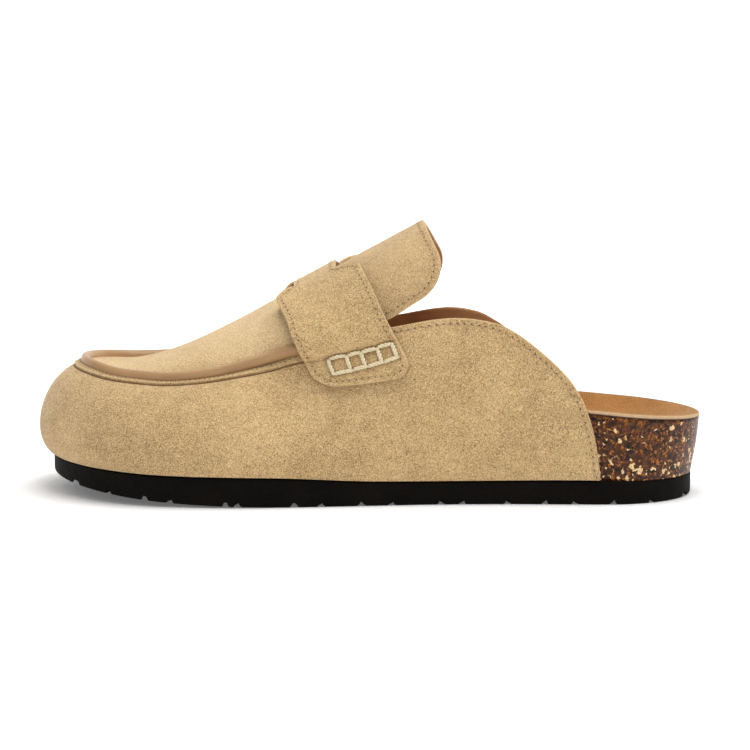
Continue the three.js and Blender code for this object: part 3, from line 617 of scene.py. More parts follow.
@dataclass
class Place:
    """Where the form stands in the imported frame."""

    shift: Array

    @classmethod
    def on_frame(cls, last: Last) -> "Place":
        """Finds the shift from the outsole's box."""
        low, high = (np.array(c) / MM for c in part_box("outsole"))
        edge = last.outline(np.linspace(0, 1, 400))
        return cls(np.array([(low[0] + high[0]) / 2, low[1] - edge[:, 1].min(), low[2]]))

    def mesh(
        self, name: str, points: Array, quads: Array, slots: Sequence[bpy.types.Material],
        tags: Array | None = None, **attributes: Array,
    ) -> bpy.types.Object:
        """Makes a smooth mesh object of millimetre points.

        Args:
            name: the object's name.
            points: in the form's millimetres.
            quads: four point numbers each.
            slots: the object's materials.
            tags: for each quad the number of its material.
            attributes: for each name one number a point, which materials read.

        Returns:
            The object, linked to the scene.
        """
        data = bpy.data.meshes.new(name)
        faces = [tuple(dict.fromkeys(q)) for q in quads.tolist()]
        data.from_pydata(((points + self.shift) * MM).tolist(), [], faces)
        for slot in slots:
            data.materials.append(slot)
        if tags is not None:
            data.polygons.foreach_set("material_index", np.asarray(tags, np.int32))
        data.polygons.foreach_set("use_smooth", np.ones(len(faces), bool))
        for key, values in attributes.items():
            layer = data.attributes.new(key, "FLOAT", "POINT")
            layer.data.foreach_set("value", np.resize(np.asarray(values, np.float32), len(points)))
        data.validate()
        thing = bpy.data.objects.new(name, data)
        bpy.context.scene.collection.objects.link(thing)
        LOG.info("%s: %d faces", name, len(data.polygons))
        return thing


class Wire:
    """One output in a shader tree, which can be added to, multiplied and so on."""

    def __init__(self, tree: bpy.types.NodeTree, socket: bpy.types.NodeSocket) -> None:
        """Wraps a socket of a tree."""
        self.tree, self.socket = tree, socket

    def apply(self, operation: str, *others: "Wire | float", clamp: bool = False) -> "Wire":
        """Adds a Math node whose first value is this output.

        Args:
            operation: the node's operation.
            others: its further values.
            clamp: True to keep the result between 0 and 1.

        Returns:
            The node's output.
        """
        return self._node(self.tree, operation, (self, *others), clamp)

    @staticmethod
    def _node(tree: bpy.types.NodeTree, operation: str, values: tuple, clamp: bool = False) -> "Wire":
        """Adds a Math node on wires and numbers.

        Args:
            tree: the tree it goes into.
            operation: the node's operation.
            values: its values in order.
            clamp: True to keep the result between 0 and 1.

        Returns:
            The node's output.
        """
        node = tree.nodes.new("ShaderNodeMath")
        node.operation, node.use_clamp = operation, clamp
        for value, socket in zip(values, node.inputs):
            if isinstance(value, Wire):
                tree.links.new(value.socket, socket)
            else:
                socket.default_value = value
        return Wire(tree, node.outputs[0])

    def __add__(self, other: "Wire | float") -> "Wire":
        """Adds a wire or a number."""
        return self.apply("ADD", other)

    __radd__ = __add__

    def __mul__(self, other: "Wire | float") -> "Wire":
        """Multiplies by a wire or a number."""
        return self.apply("MULTIPLY", other)

    __rmul__ = __mul__

    def __sub__(self, other: "Wire | float") -> "Wire":
        """Takes a wire or a number away."""
        return self.apply("SUBTRACT", other)

    def __rsub__(self, other: float) -> "Wire":
        """Takes this away from a number."""
        return self._node(self.tree, "SUBTRACT", (other, self))

    def __truediv__(self, other: "Wire | float") -> "Wire":
        """Divides by a wire or a number."""
        return self.apply("DIVIDE", other)

    def __rtruediv__(self, other: float) -> "Wire":
        """Divides a number."""
        return self._node(self.tree, "DIVIDE", (other, self))

    def step(self, low: float, high: float) -> "Wire":
        """Rises from 0 at low to 1 at high."""
        return (self - low).apply("MULTIPLY", 1.0 / (high - low), clamp=True)

    def bell(self, centre: float, width: float) -> "Wire":
        """1 at centre, falling to 0 at width from it."""
        return 1.0 - (self - centre).apply("ABSOLUTE").apply("DIVIDE", width, clamp=True)


class Tree:
    """A node tree under construction."""

    def __init__(self, tree: bpy.types.NodeTree) -> None:
        """Starts on a tree."""
        self.tree = tree

    def node(self, kind: str, settings: dict | None = None, output: str | int = 0, **inputs: object) -> Wire:
        """Adds a node.

        Args:
            kind: its type.
            settings: its properties.
            output: the output to use.
            inputs: values or wires, by the sockets' names with _ for spaces.

        Returns:
            The output.
        """
        node = self.tree.nodes.new(kind)
        for key, value in (settings or {}).items():
            setattr(node, key, value)
        for key, value in inputs.items():
            socket = next(s for s in node.inputs if s.enabled and s.name == key.replace("_", " "))
            if isinstance(value, Wire):
                self.tree.links.new(value.socket, socket)
            else:
                socket.default_value = value
        return Wire(self.tree, node.outputs[output])

    def vectors(self, operation: str, *values: Wire) -> Wire:
        """Vector maths on wires."""
        wire = self.node("ShaderNodeVectorMath", {"operation": operation})
        for value, socket in zip(values, wire.socket.node.inputs):
            self.tree.links.new(value.socket, socket)
        return wire

    def scale(self, vector: Wire, factor: "Wire | float") -> Wire:
        """A vector times a number."""
        return self.node("ShaderNodeVectorMath", {"operation": "SCALE"}, Vector=vector, Scale=factor)


class Shader(Tree):
    """A material under construction, with one Principled surface."""

    def __init__(self, name: str) -> None:
        """Starts a material under a name."""
        self.material = bpy.data.materials.new(name)
        self.material.use_nodes = True
        super().__init__(self.material.node_tree)
        self.surface = self.tree.nodes["Principled BSDF"]
        self.place = self.node("ShaderNodeTexCoord", output="Object")

    def noise(
        self, scale: float, detail: float = 2.0, roughness: float = 0.5, stretch: tuple = (1, 1, 1)
    ) -> Wire:
        """Adds a noise pattern.

        Args:
            scale: features to a metre.
            detail: how many finer layers it has.
            roughness: how strong they are.
            stretch: a scale for each axis, where a small one makes the features longer.

        Returns:
            The pattern's value, about 0.5 on average.
        """
        place = self.place
        if stretch != (1, 1, 1):
            place = self.node("ShaderNodeMapping", Vector=place, Scale=stretch)
        return self.node("ShaderNodeTexNoise", Vector=place, Scale=scale, Detail=detail, Roughness=roughness)

    def cells(self, scale: float) -> Wire:
        """Smooth Voronoi cells of about 1/scale metres."""
        return self.node("ShaderNodeTexVoronoi", {"feature": "SMOOTH_F1"}, Vector=self.place, Scale=scale)

    def mix(self, share: "Wire | float", a: object, b: object) -> Wire:
        """Mixes two colours.

        Args:
            share: how much of the second one.
            a: the first colour, as a wire or a value.
            b: the second colour.

        Returns:
            The mixed colour.
        """
        node = self.tree.nodes.new("ShaderNodeMix")
        node.data_type = "RGBA"
        for value, socket in ((share, node.inputs[0]), (a, node.inputs[6]), (b, node.inputs[7])):
            if isinstance(value, Wire):
                self.tree.links.new(value.socket, socket)
            else:
                socket.default_value = value
        return Wire(self.tree, node.outputs[2])

    def attribute(self, name: str) -> Wire:
        """A number stored on the points."""
        return self.node("ShaderNodeAttribute", {"attribute_name": name}, "Fac")

    def bump(self, height: Wire, distance: float, below: Wire | None = None) -> Wire:
        """Adds a bump.

        Args:
            height: the relief, from 0 to 1.
            distance: its depth in metres.
            below: a coarser bump under it, if there is one.

        Returns:
            The normal.
        """
        more = {"Normal": below} if below else {}
        return self.node("ShaderNodeBump", Height=height, Distance=distance, Strength=1.0, **more)

    def finish(self, **sockets: object) -> bpy.types.Material:
        """Sets or links the surface's sockets.

        Args:
            sockets: values or wires, by the sockets' names with _ for spaces.

        Returns:
            The material.
        """
        for key, value in sockets.items():
            socket = self.surface.inputs[key.replace("_", " ")]
            if isinstance(value, Wire):
                self.tree.links.new(value.socket, socket)
            else:
                socket.default_value = value
        return self.material


def rgb(red: float, green: float, blue: float) -> tuple[float, float, float, float]:
    """A colour from its 0 to 255 values as seen on a screen."""

    def linear(c: float) -> float:
        """One value, made linear."""
        c /= 255.0
        return c / 12.92 if c <= 0.04045 else ((c + 0.055) / 1.055) ** 2.4

    return (linear(red), linear(green), linear(blue), 1.0)


@dataclass(frozen=True)
class Suede:
    """Brushed suede: speckled nap with lighter and darker patches, a soft sheen, worn edges and painted shade: a
    darker line along the stitching near the edges, darkening round sewn threads and, where asked, shadow lines along
    the seam.
    """

    light: tuple = rgb(237, 204, 151)
    dark: tuple = rgb(132, 98, 57)
    worn: tuple = rgb(230, 198, 150)
    contrast: float = 1.0
    # True to paint shadow lines along the piped seam
    seam_shadows: bool = False

    def make(self, name: str) -> bpy.types.Material:
        """Builds the material.

        Args:
            name: the material's name.

        Returns:
            The material.
        """
        s = Shader(name)
        patch, cloud = s.noise(34, 3, 0.55), s.noise(130, 2, 0.55)
        nap, flecks = s.noise(1900, 1, 0.6), s.noise(3300, 0, 0.5)
        brushed = s.noise(330, 2, 0.6, (0.5, 0.5, 1.3))
        grain = (nap - 0.5) * 1.35 + (flecks - 0.5) * 1.35 + (brushed - 0.5) * 0.3
        tone = grain * self.contrast + (patch - 0.5) * 0.45 + (cloud - 0.5) * 0.15 + 0.55
        colour = s.mix(tone.step(0.0, 1.0), self.dark, self.light)
        height = nap * 0.7 + brushed * 0.45
        normal = s.bump(height, 0.00045, s.bump(s.noise(95, 2, 0.5), 0.0009))
        edge = s.attribute("edge")
        colour = s.mix((1.0 - edge.step(0.0, 0.5)) * 0.3, colour, self.worn)
        # painted shade: a darker line about 1.8 mm in from the edges, along the stitching, standing for the shade of
        # a stitched groove
        colour = s.mix(edge.bell(1.8, 0.55) * 0.4, colour, rgb(112, 80, 48))
        # painted shade round sewn threads, darkest where the dent attribute is 1, right beside them
        colour = s.mix(s.attribute("dent") * 0.9, colour, rgb(80, 53, 29))
        # painted shadows along the seam: a dark line just below the lip, 5.5 mm down from the seam, and a softer one
        # just under the piping, 2.6 mm down
        if self.seam_shadows:
            seam = s.attribute("seam")
            colour = s.mix(seam.bell(5.5, 0.5) * 0.95, colour, rgb(92, 62, 36))
            colour = s.mix(seam.bell(2.6, 0.55) * 0.7, colour, rgb(104, 74, 44))
        return s.finish(
            Base_Color=colour, Roughness=0.95, Normal=normal, Sheen_Weight=0.3, Sheen_Roughness=0.5,
            Sheen_Tint=(1.0, 0.92, 0.8, 1.0), Specular_IOR_Level=0.1,
        )


@dataclass(frozen=True)
class Leather:
    """Smooth finished leather with a fine grain."""

    colour: tuple
    shade: tuple
    roughness: float = 0.48
    grain: float = 0.00006

    def make(self, name: str) -> bpy.types.Material:
        """Builds the material under a name."""
        s = Shader(name)
        patch = s.noise(60, 3, 0.5)
        grain = s.cells(1500)
        colour = s.mix(patch.step(0.3, 0.7) * 0.6 + grain * 0.2, self.colour, self.shade)
        normal = s.bump(grain, self.grain, s.bump(s.noise(140, 2), 0.0004))
        return s.finish(Base_Color=colour, Roughness=(patch - 0.5) * 0.2 + self.roughness, Normal=normal)


@dataclass(frozen=True)
class Cork:
    """Pressed cork granules under a clear lacquer."""

    base: tuple = rgb(26, 12, 6)
    brown: tuple = rgb(104, 58, 27)
    orange: tuple = rgb(206, 128, 54)
    chip: tuple = rgb(248, 214, 158)

    def make(self, name: str) -> bpy.types.Material:
        """Builds the material under a name."""
        s = Shader(name)
        warp = s.node("ShaderNodeTexNoise", None, "Color", Vector=s.place, Scale=520.0, Detail=3.0)
        place = s.vectors("ADD", s.place, s.scale(warp, 0.0032))

        def granules(scale: float) -> Wire:
            """A random value for each granule of about 1/scale metres."""
            cell = s.node("ShaderNodeTexVoronoi", None, "Color", Vector=place, Scale=scale)
            return s.node("ShaderNodeSeparateColor", None, "Red", Color=cell)

        big, small, fine = granules(620.0), granules(1150.0), s.noise(1900, 3, 0.7)
        colour = s.mix((big * 0.5 + small * 0.35 + fine * 0.3).step(0.3, 0.85), self.base, self.brown)
        colour = s.mix(small.step(0.72, 0.98) * fine.step(0.35, 0.6), colour, self.orange)
        low = 1.0 - s.attribute("high").step(0.05, 0.4)
        colour = s.mix((big + low * 0.07).step(0.965, 0.975) * fine.step(0.3, 0.5), colour, self.chip)
        colour = s.mix((small + low * 0.03).step(0.985, 0.99), colour, self.chip)
        return s.finish(
            Base_Color=colour, Roughness=0.5, Normal=s.bump(fine, 0.0001), Coat_Weight=0.2, Coat_Roughness=0.1,
            Specular_IOR_Level=0.15)


@dataclass(frozen=True)
class Foam:
    """Matt moulded foam."""

    colour: tuple = rgb(18, 14, 10)
    shade: tuple = rgb(8, 6, 4)

    def make(self, name: str) -> bpy.types.Material:
        """Builds the material under a name."""
        s = Shader(name)
        fine = s.noise(1300, 3, 0.6)
        colour = s.mix(s.noise(45, 3, 0.5).step(0.3, 0.7), self.shade, self.colour)
        normal = s.bump(fine, 0.00016, s.bump(s.noise(160, 2), 0.0004))
        return s.finish(
            Base_Color=colour, Roughness=fine * 0.25 + 0.6, Normal=normal, Specular_IOR_Level=0.08)


@dataclass(frozen=True)
class Thread:
    """Waxed thread with the twist of its plies."""

    colour: tuple = rgb(246, 235, 204)
    shade: tuple = rgb(214, 194, 148)

    def make(self, name: str) -> bpy.types.Material:
        """Builds the material under a name."""
        s = Shader(name)
        fibre = s.noise(2600, 2, 0.6)
        colour = s.mix(fibre.step(0.25, 0.75), self.shade, self.colour)
        return s.finish(Base_Color=colour, Roughness=0.6, Normal=s.bump(fibre, 0.00012), Sheen_Weight=0.2)


@dataclass(frozen=True)
class Plain:
    """An even dull finish with a fine mottle, for dyed edges and the painted shade of needle holes."""

    colour: tuple
    shade: tuple
    roughness: float = 0.8

    def make(self, name: str) -> bpy.types.Material:
        """Builds the material under a name."""
        s = Shader(name)
        mottle = s.noise(700, 2, 0.6).step(0.25, 0.75)
        return s.finish(Base_Color=s.mix(mottle, self.colour, self.shade), Roughness=self.roughness)


@dataclass(frozen=True)
class Paper:
    """White backdrop paper with a painted glow in place of light from behind: faint near the shoe, bright away from
    it.
    """

    near: float = 0.12
    far: float = 0.75

    def make(self, name: str) -> bpy.types.Material:
        """Builds the material under a name."""
        s = Shader(name)
        # painted light: the paper glows by itself, 0.12 near the shoe rising to 0.75 between 0.24 m and 0.75 m away
        away = s.node("ShaderNodeVectorMath", {"operation": "LENGTH"}, "Value", Vector=s.place)
        glow = s.mix(away.step(0.24, 0.75), (self.near,) * 3 + (1.0,), (self.far,) * 3 + (1.0,))
        return s.finish(
            Base_Color=rgb(250, 250, 250), Roughness=0.9, Emission_Color=glow, Emission_Strength=1.0)


class Finishes:
    """Every material of the shoe."""

    def __init__(self) -> None:
        """Makes the materials."""
        self.suede = Suede(seam_shadows=True).make("suede_tan")
        self.apron = Suede(rgb(248, 218, 168), rgb(160, 126, 82), contrast=0.8).make("suede_apron")
        self.tongue = Suede(rgb(230, 197, 147), rgb(134, 101, 62), contrast=0.8).make("suede_tongue")
        self.strap = Suede(rgb(236, 203, 149), rgb(130, 97, 58)).make("suede_strap")
        self.insole = Suede(rgb(202, 145, 82), rgb(120, 75, 36), rgb(212, 170, 116), 0.7).make("suede_insole")
        self.piping = Leather(rgb(186, 147, 102), rgb(162, 124, 83), 0.42).make("piping_leather")
        self.lining = Leather(rgb(184, 134, 90), rgb(160, 112, 70), 0.6).make("lining_leather")
        # strap backing: a real lining, darkened to paint the shade under the strap and at its edges
        self.under = Leather(rgb(126, 86, 54), rgb(104, 68, 40), 0.6).make("strap_backing")
        self.dye = Plain(rgb(176, 122, 72), rgb(150, 98, 54), 0.6).make("edge_dye")
        self.band = Plain(rgb(118, 92, 84), rgb(92, 70, 64), 0.7).make("backing_edge")
        self.cork = Cork().make("lacquered_cork")
        self.foam = Foam().make("sole_foam")
        self.thread = Thread(rgb(214, 184, 140), rgb(176, 142, 98)).make("tan_thread")
        self.cream = Thread().make("cream_thread")
        # dark discs painted as the shade inside the needle holes
        self.hole = Plain(rgb(74, 50, 30), rgb(56, 38, 24), 0.9).make("needle_hole")
        self.cut = Plain(rgb(214, 182, 140), rgb(194, 160, 118), 0.8).make("insole_cut_edge")
        self.paper = Paper().make("paper")


@dataclass
class Piece:
    """What every sub-assembly needs: the form, its place and the finishes."""

    last: Last
    place: Place
    finishes: Finishes
    sewing: "Sewing"


def hand_over(thing: bpy.types.Object, node: str | None, slot: str) -> None:
    """Ties a finished piece to the frame: to its body, and hides the solid it stands for."""
    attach(thing, "root")
    if node:
        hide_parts(node)


class Pattern(Tree):
    """A Geometry Nodes tree with named inputs, which dresses a path and leaves a plain mesh."""

    def __init__(self, name: str) -> None:
        super().__init__(bpy.data.node_groups.new(name, "GeometryNodeTree"))
        self.tree.interface.new_socket("Geometry", in_out="OUTPUT", socket_type="NodeSocketGeometry")
        self.entry, self.exit = self.tree.nodes.new("NodeGroupInput"), self.tree.nodes.new("NodeGroupOutput")
        self.path = self.input("Geometry", "Geometry")

    def input(self, name: str, kind: str = "Float") -> Wire:
        """Adds a named input and gives its output inside the tree."""
        self.tree.interface.new_socket(name, in_out="INPUT", socket_type=f"NodeSocket{kind}")
        return Wire(self.tree, next(o for o in self.entry.outputs if o.name == name))

    def vector(self, x: Wire | float, y: Wire | float, z: Wire | float) -> Wire:
        """Joins three numbers into a vector."""
        return self.node("ShaderNodeCombineXYZ", X=x, Y=y, Z=z)

    def end(self, shape: Wire) -> None:
        """Ends the tree: instances made real, shaded smooth and given the material that is put in."""
        real = self.node("GeometryNodeRealizeInstances", Geometry=shape)
        smooth = self.node("GeometryNodeSetShadeSmooth", Geometry=real)
        done = self.node("GeometryNodeSetMaterial", Geometry=smooth, Material=self.input("Material", "Material"))
        self.tree.links.new(done.socket, self.exit.inputs[0])

    def dress(self, name: str, place: Place, line: tuple[Array, Array, Array], **values: object) -> bpy.types.Object:
        """Runs the tree on a path and keeps the result as a plain mesh.

        Args:
            name: the new object's name.
            place: where the form stands.
            line: the path's points and normals in millimetres, and the pairs of points that its edges join.
            values: the tree's inputs, by name with _ for spaces.

        Returns:
            The object, linked to the scene.
        """
        points, up, edges = line
        data = bpy.data.meshes.new(name)
        data.from_pydata(((points + place.shift) * MM).tolist(), edges.tolist(), [])
        data.attributes.new("up", "FLOAT_VECTOR", "POINT").data.foreach_set("vector", up.astype(np.float32).ravel())
        thing = bpy.data.objects.new(name, data)
        bpy.context.scene.collection.objects.link(thing)
        modifier = thing.modifiers.new("pattern", "NODES")
        modifier.node_group = self.tree
        for item in self.tree.interface.items_tree:
            key = item.name.replace(" ", "_")
            if item.in_out == "INPUT" and key in values:
                modifier[item.identifier] = values[key]
        bpy.context.view_layer.update()
        graph = bpy.context.evaluated_depsgraph_get()
        made = bpy.data.meshes.new_from_object(thing.evaluated_get(graph))
        thing.modifiers.remove(modifier)
        thing.data = made
        made.name = name
        LOG.info("%s: %d faces", name, len(made.polygons))
        return thing


class BeadRow(Pattern):
    """Flattened beads at an even pitch along a path: stitches, or dark discs between them, painted as the shade of
    the needle holes.
    """

    def __init__(self) -> None:
        super().__init__("bead_row")
        pitch, shift, sink = self.input("Pitch"), self.input("Shift"), self.input("Sink")
        length, width, height = self.input("Length"), self.input("Width"), self.input("Height")
        curve = self.node("GeometryNodeMeshToCurve", Mesh=self.path)
        curve = self.node("GeometryNodeResampleCurve", {"mode": "LENGTH"}, Curve=curve, Length=pitch)
        up = self.node("GeometryNodeInputNamedAttribute", {"data_type": "FLOAT_VECTOR"}, Name="up")
        tangent = self.node("GeometryNodeInputTangent")
        turn = self.node(
            "FunctionNodeAxesToRotation", {"primary_axis": "Z", "secondary_axis": "X"}, Primary_Axis=up,
            Secondary_Axis=tangent)
        bead = self.node("GeometryNodeMeshUVSphere", Segments=8, Rings=6, Radius=0.5)
        bead = self.node(
            "GeometryNodeTransform", Geometry=bead, Translation=self.vector(shift, 0.0, sink),
            Scale=self.vector(length, width, height))
        uneven = self.node("FunctionNodeRandomValue", {"data_type": "FLOAT"}, 1, Min=0.85, Max=1.1, Seed=7)
        row = self.node(
            "GeometryNodeInstanceOnPoints", Points=curve, Instance=bead, Rotation=turn,
            Scale=self.vector(uneven, uneven, 1.0))
        self.end(row)


class Ply(Pattern):
    """One ply of a twisted thread, wound round a path."""

    def __init__(self) -> None:
        super().__init__("ply")
        lay, phase = self.input("Lay"), self.input("Phase")
        offset, radius = self.input("Offset"), self.input("Radius")
        curve = self.node("GeometryNodeMeshToCurve", Mesh=self.path)
        curve = self.node("GeometryNodeResampleCurve", {"mode": "LENGTH"}, Curve=curve, Length=0.0002)
        up = self.node("GeometryNodeInputNamedAttribute", {"data_type": "FLOAT_VECTOR"}, Name="up")
        across = self.vectors("CROSS_PRODUCT", self.node("GeometryNodeInputTangent"), up)
        turn = self.node("GeometryNodeSplineParameter", None, "Length") / lay * (2 * math.pi) + phase
        wound = self.vectors(
            "ADD", self.scale(up, turn.apply("COSINE") * offset),
            self.scale(across, turn.apply("SINE") * offset))
        curve = self.node("GeometryNodeSetPosition", Geometry=curve, Offset=wound)
        section = self.node("GeometryNodeCurvePrimitiveCircle", Resolution=8, Radius=radius)
        self.end(self.node("GeometryNodeCurveToMesh", Curve=curve, Profile_Curve=section, Fill_Caps=True))


@dataclass
class Sewing:
    """Sews rows of stitches and thick twisted threads on the pieces. Sizes are in millimetres."""

    place: Place
    finishes: Finishes

    def __post_init__(self) -> None:
        """Builds the two trees."""
        self.beads, self.ply = BeadRow(), Ply()

    def row(self, name: str, slot: str, line: tuple[Array, Array, Array], pitch: float, length: float,
            width: float, hole: float) -> None:
        """Sews one row of stitches with dark discs between them, painted as the shade of the needle holes.

        Args:
            name: the row's name.
            slot: the material slot of the piece it is sewn on; not used.
            line: the row's path.
            pitch: from one stitch to the next.
            length: of a stitch.
            width: of a stitch.
            hole: size of the painted shade disc at a needle hole.
        """
        thread = self.beads.dress(
            name + "_thread", self.place, line, Pitch=pitch * MM, Shift=0.0, Sink=0.02 * MM, Length=length * MM,
            Width=width * MM, Height=width * 0.8 * MM, Material=self.finishes.thread)
        # the needle holes are dark discs on the surface between stitches: painted shade
        holes = self.beads.dress(
            name + "_holes", self.place, line, Pitch=pitch * MM, Shift=pitch / 2 * MM, Sink=0.0,
            Length=hole * 1.1 * MM, Width=hole * MM, Height=0.28 * MM, Material=self.finishes.hole)
        for thing in (thread, holes):
            hand_over(thing, None, slot)

    def thread(self, name: str, slot: str, line: tuple[Array, Array, Array], radius: float) -> None:
        """Lays a thick two-ply thread along a path."""
        for number, phase in enumerate((0.0, math.pi), 1):
            ply = self.ply.dress(
                f"{name}_ply_{number}", self.place, line, Lay=3.0 * MM, Phase=phase, Offset=radius * 0.48 * MM,
                Radius=radius * 0.56 * MM, Material=self.finishes.cream)
            hand_over(ply, None, slot)


@dataclass
class Outsole(Piece):
    """The black foam outsole with wavy grooves across its tread."""

    count: int = 1200
    bevel: float = 1.2
    groove_depth: float = 1.8
    groove_width: float = 2.6
    groove_wave: float = 3.0
    pitch: float = 42.0
    pair: float = 10.5
    first: float = 12.0

    def grooves(self, points: Array) -> Array:
        """How far the tread stands up into the grooves at some points."""
        last = self.last
        places = []
        for start in np.arange(self.first, last.sole_length - self.pair, self.pitch):
            places += [start - self.pair / 2, start + self.pair / 2, start + self.pitch / 2]
        result = np.zeros(len(points))
        for i, d in enumerate(places):
            wave = self.groove_wave * np.sin(points[:, 1] / last.ball_width * 3 * np.pi) * (1 if i % 2 else -1)
            gap = np.abs(points[:, 0] - (last.sole_length / 2 - d) - wave) / self.groove_width
            result = np.maximum(result, self.groove_depth * (1 - smoothstep(0.3, 0.52, gap)))
        return result

    def build(self) -> None:
        """Makes the outsole from rings that run over the tread, up the side and over the top."""
        last, r = self.last, self.bevel
        rings = []
        for depth in np.linspace(0.94, 0.0, 40):
            rings.append(last.ring(self.count, lambda a: -r + 0 * a, lambda a, s: last.bottom(a), float(depth)))
        for turn in np.linspace(0, np.pi / 2, 7)[1:]:
            out, up = -r * (1 - math.sin(turn)), r * (1 - math.cos(turn))
            rings.append(last.ring(self.count, lambda a: out + 0 * a, lambda a, s: last.bottom(a) + up))
        for share in (0.18, 0.4, 0.65, 0.9):
            rings.append(last.ring(
                self.count, lambda a: 0 * a,
                lambda a, s: last.bottom(a) + r + (last.top(a) - last.bottom(a) - r - 0.7) * share))
        for turn in np.linspace(0, np.pi / 2, 5):
            out, down = -0.7 * (1 - math.cos(turn)), 0.7 * (1 - math.sin(turn))
            rings.append(last.ring(self.count, lambda a: out + 0 * a, lambda a, s: last.top(a) - down))
        for depth in (0.3, 0.94):
            rings.append(last.ring(self.count, lambda a: -0.7 + 0 * a, lambda a, s: last.top(a), depth))
        points = np.concatenate(rings)
        floor = last.bottom(last.along(points[:, 0])) + self.grooves(points)
        points[:, 2] = np.maximum(points[:, 2], floor)
        quads = np.concatenate([
            loop_quads(len(rings), self.count), bars(self.count, 0, True),
            bars(self.count, (len(rings) - 1) * self.count, False)])
        hand_over(self.place.mesh("foam_outsole", points, quads, [self.finishes.foam]), "outsole", "foam")


@dataclass
class Footbed(Piece):
    """The cork footbed and the suede insole that covers its cup."""

    count: int = 700
    land: float = 2.2
    insole: float = 1.4

    def cup(self, lift: float, out: float, depth: float) -> Array:
        """One ring of the cup's face."""
        last = self.last
        share = self.land / (last.heel_width / 2)
        place = share + depth * (1 - share) if depth >= 0 else 0.0
        return last.ring(
            self.count, lambda a: last.rim(a) + out,
            lambda a, s: last.cork_height(a, s, max(depth, 0.0)) + lift, place)

    def build(self) -> None:
        """Makes both pieces from rings."""
        last = self.last

        def side(share: float) -> Array:
            def offset(a: Array) -> Array:
                bulge = 0.9 * math.sin(math.pi * share) * (1 - smoothstep(0.1, 0.4, a)) + 0.35 * math.sin(math.pi * share)
                return -last.inset(a) + (last.rim(a) + last.inset(a)) * share**1.3 + bulge * 0.5

            def height(a: Array, s: Array) -> Array:
                low = last.top(a) + last.gap * 0.4
                return low + (last.cork_height(a, s, 0.0) - 0.3 - low) * share

            return last.ring(self.count, offset, height)

        low = last.ring(self.count, lambda a: -last.inset(a) - 6, lambda a, s: last.top(a) + last.gap * 0.4)
        shares = np.linspace(0, 1, 22)
        rings = [low] + [side(float(s)) for s in shares]
        high = [0.0, 0.0] + list(shares)[1:] + [1.0] * 4
        rings += [self.cup(0.0, -0.3, -1)] + [self.cup(0.0, 0.0, d) for d in (0.0, 0.3, 0.7)]
        high = np.array(high[: len(rings)] + [1.0] * (len(rings) - len(high)))
        points = np.concatenate(rings)
        quads = np.concatenate([
            loop_quads(len(rings), self.count), bars(self.count, 0, True),
            bars(self.count, (len(rings) - 1) * self.count, False)])
        thing = self.place.mesh(
            "cork_footbed", points, quads, [self.finishes.cork], high=np.repeat(high, self.count))
        hand_over(thing, "footbed", "cork")
        self.cover()

    def cover(self) -> None:
        """Makes the insole, with its pale cut edge over a thin backing."""
        thick, r = self.insole + 0.3, 0.75
        depths = [0.0, 0.04, 0.08, 0.12, 0.17, 0.22, 0.28, 0.35, 0.43, 0.52, 0.62, 0.73, 0.85, 0.95]
        rings = [self.cup(0.1, 0.0, d) for d in depths[::-1]] + [self.cup(0.1, -0.1, -1)]
        under = len(rings)
        rings += [self.cup(0.12, 0.1, -1), self.cup(0.5, 0.12, -1), self.cup(0.55, 0.2, -1)]
        corner = np.linspace(0, np.pi / 2, 7)
        rings += [self.cup(thick - r * (1 - math.sin(a)), 0.2 - r * (1 - math.cos(a)), -1) for a in corner]
        edge = len(rings)
        distance = [0.0] * under + [0.02] * 3 + list(np.linspace(0.05, r, 7)) + [2.0 + 30 * d for d in depths]
        rings += [self.cup(thick, 0.0, d) for d in depths]
        points = np.concatenate(rings)
        quads = np.concatenate([
            loop_quads(len(rings), self.count), bars(self.count, 0, True),
            bars(self.count, (len(rings) - 1) * self.count, False)])
        row = np.arange(len(quads)) // self.count
        tags = np.where(row < under + 1, 1, np.where(row < edge - 3, 2, 0))
        tags[(len(rings) - 1) * self.count :] = 0
        thing = self.place.mesh(
            "suede_insole", points, quads, [self.finishes.insole, self.finishes.band, self.finishes.cut],
            tags, edge=np.repeat(distance, self.count))
        hand_over(thing, "insole", "insole")


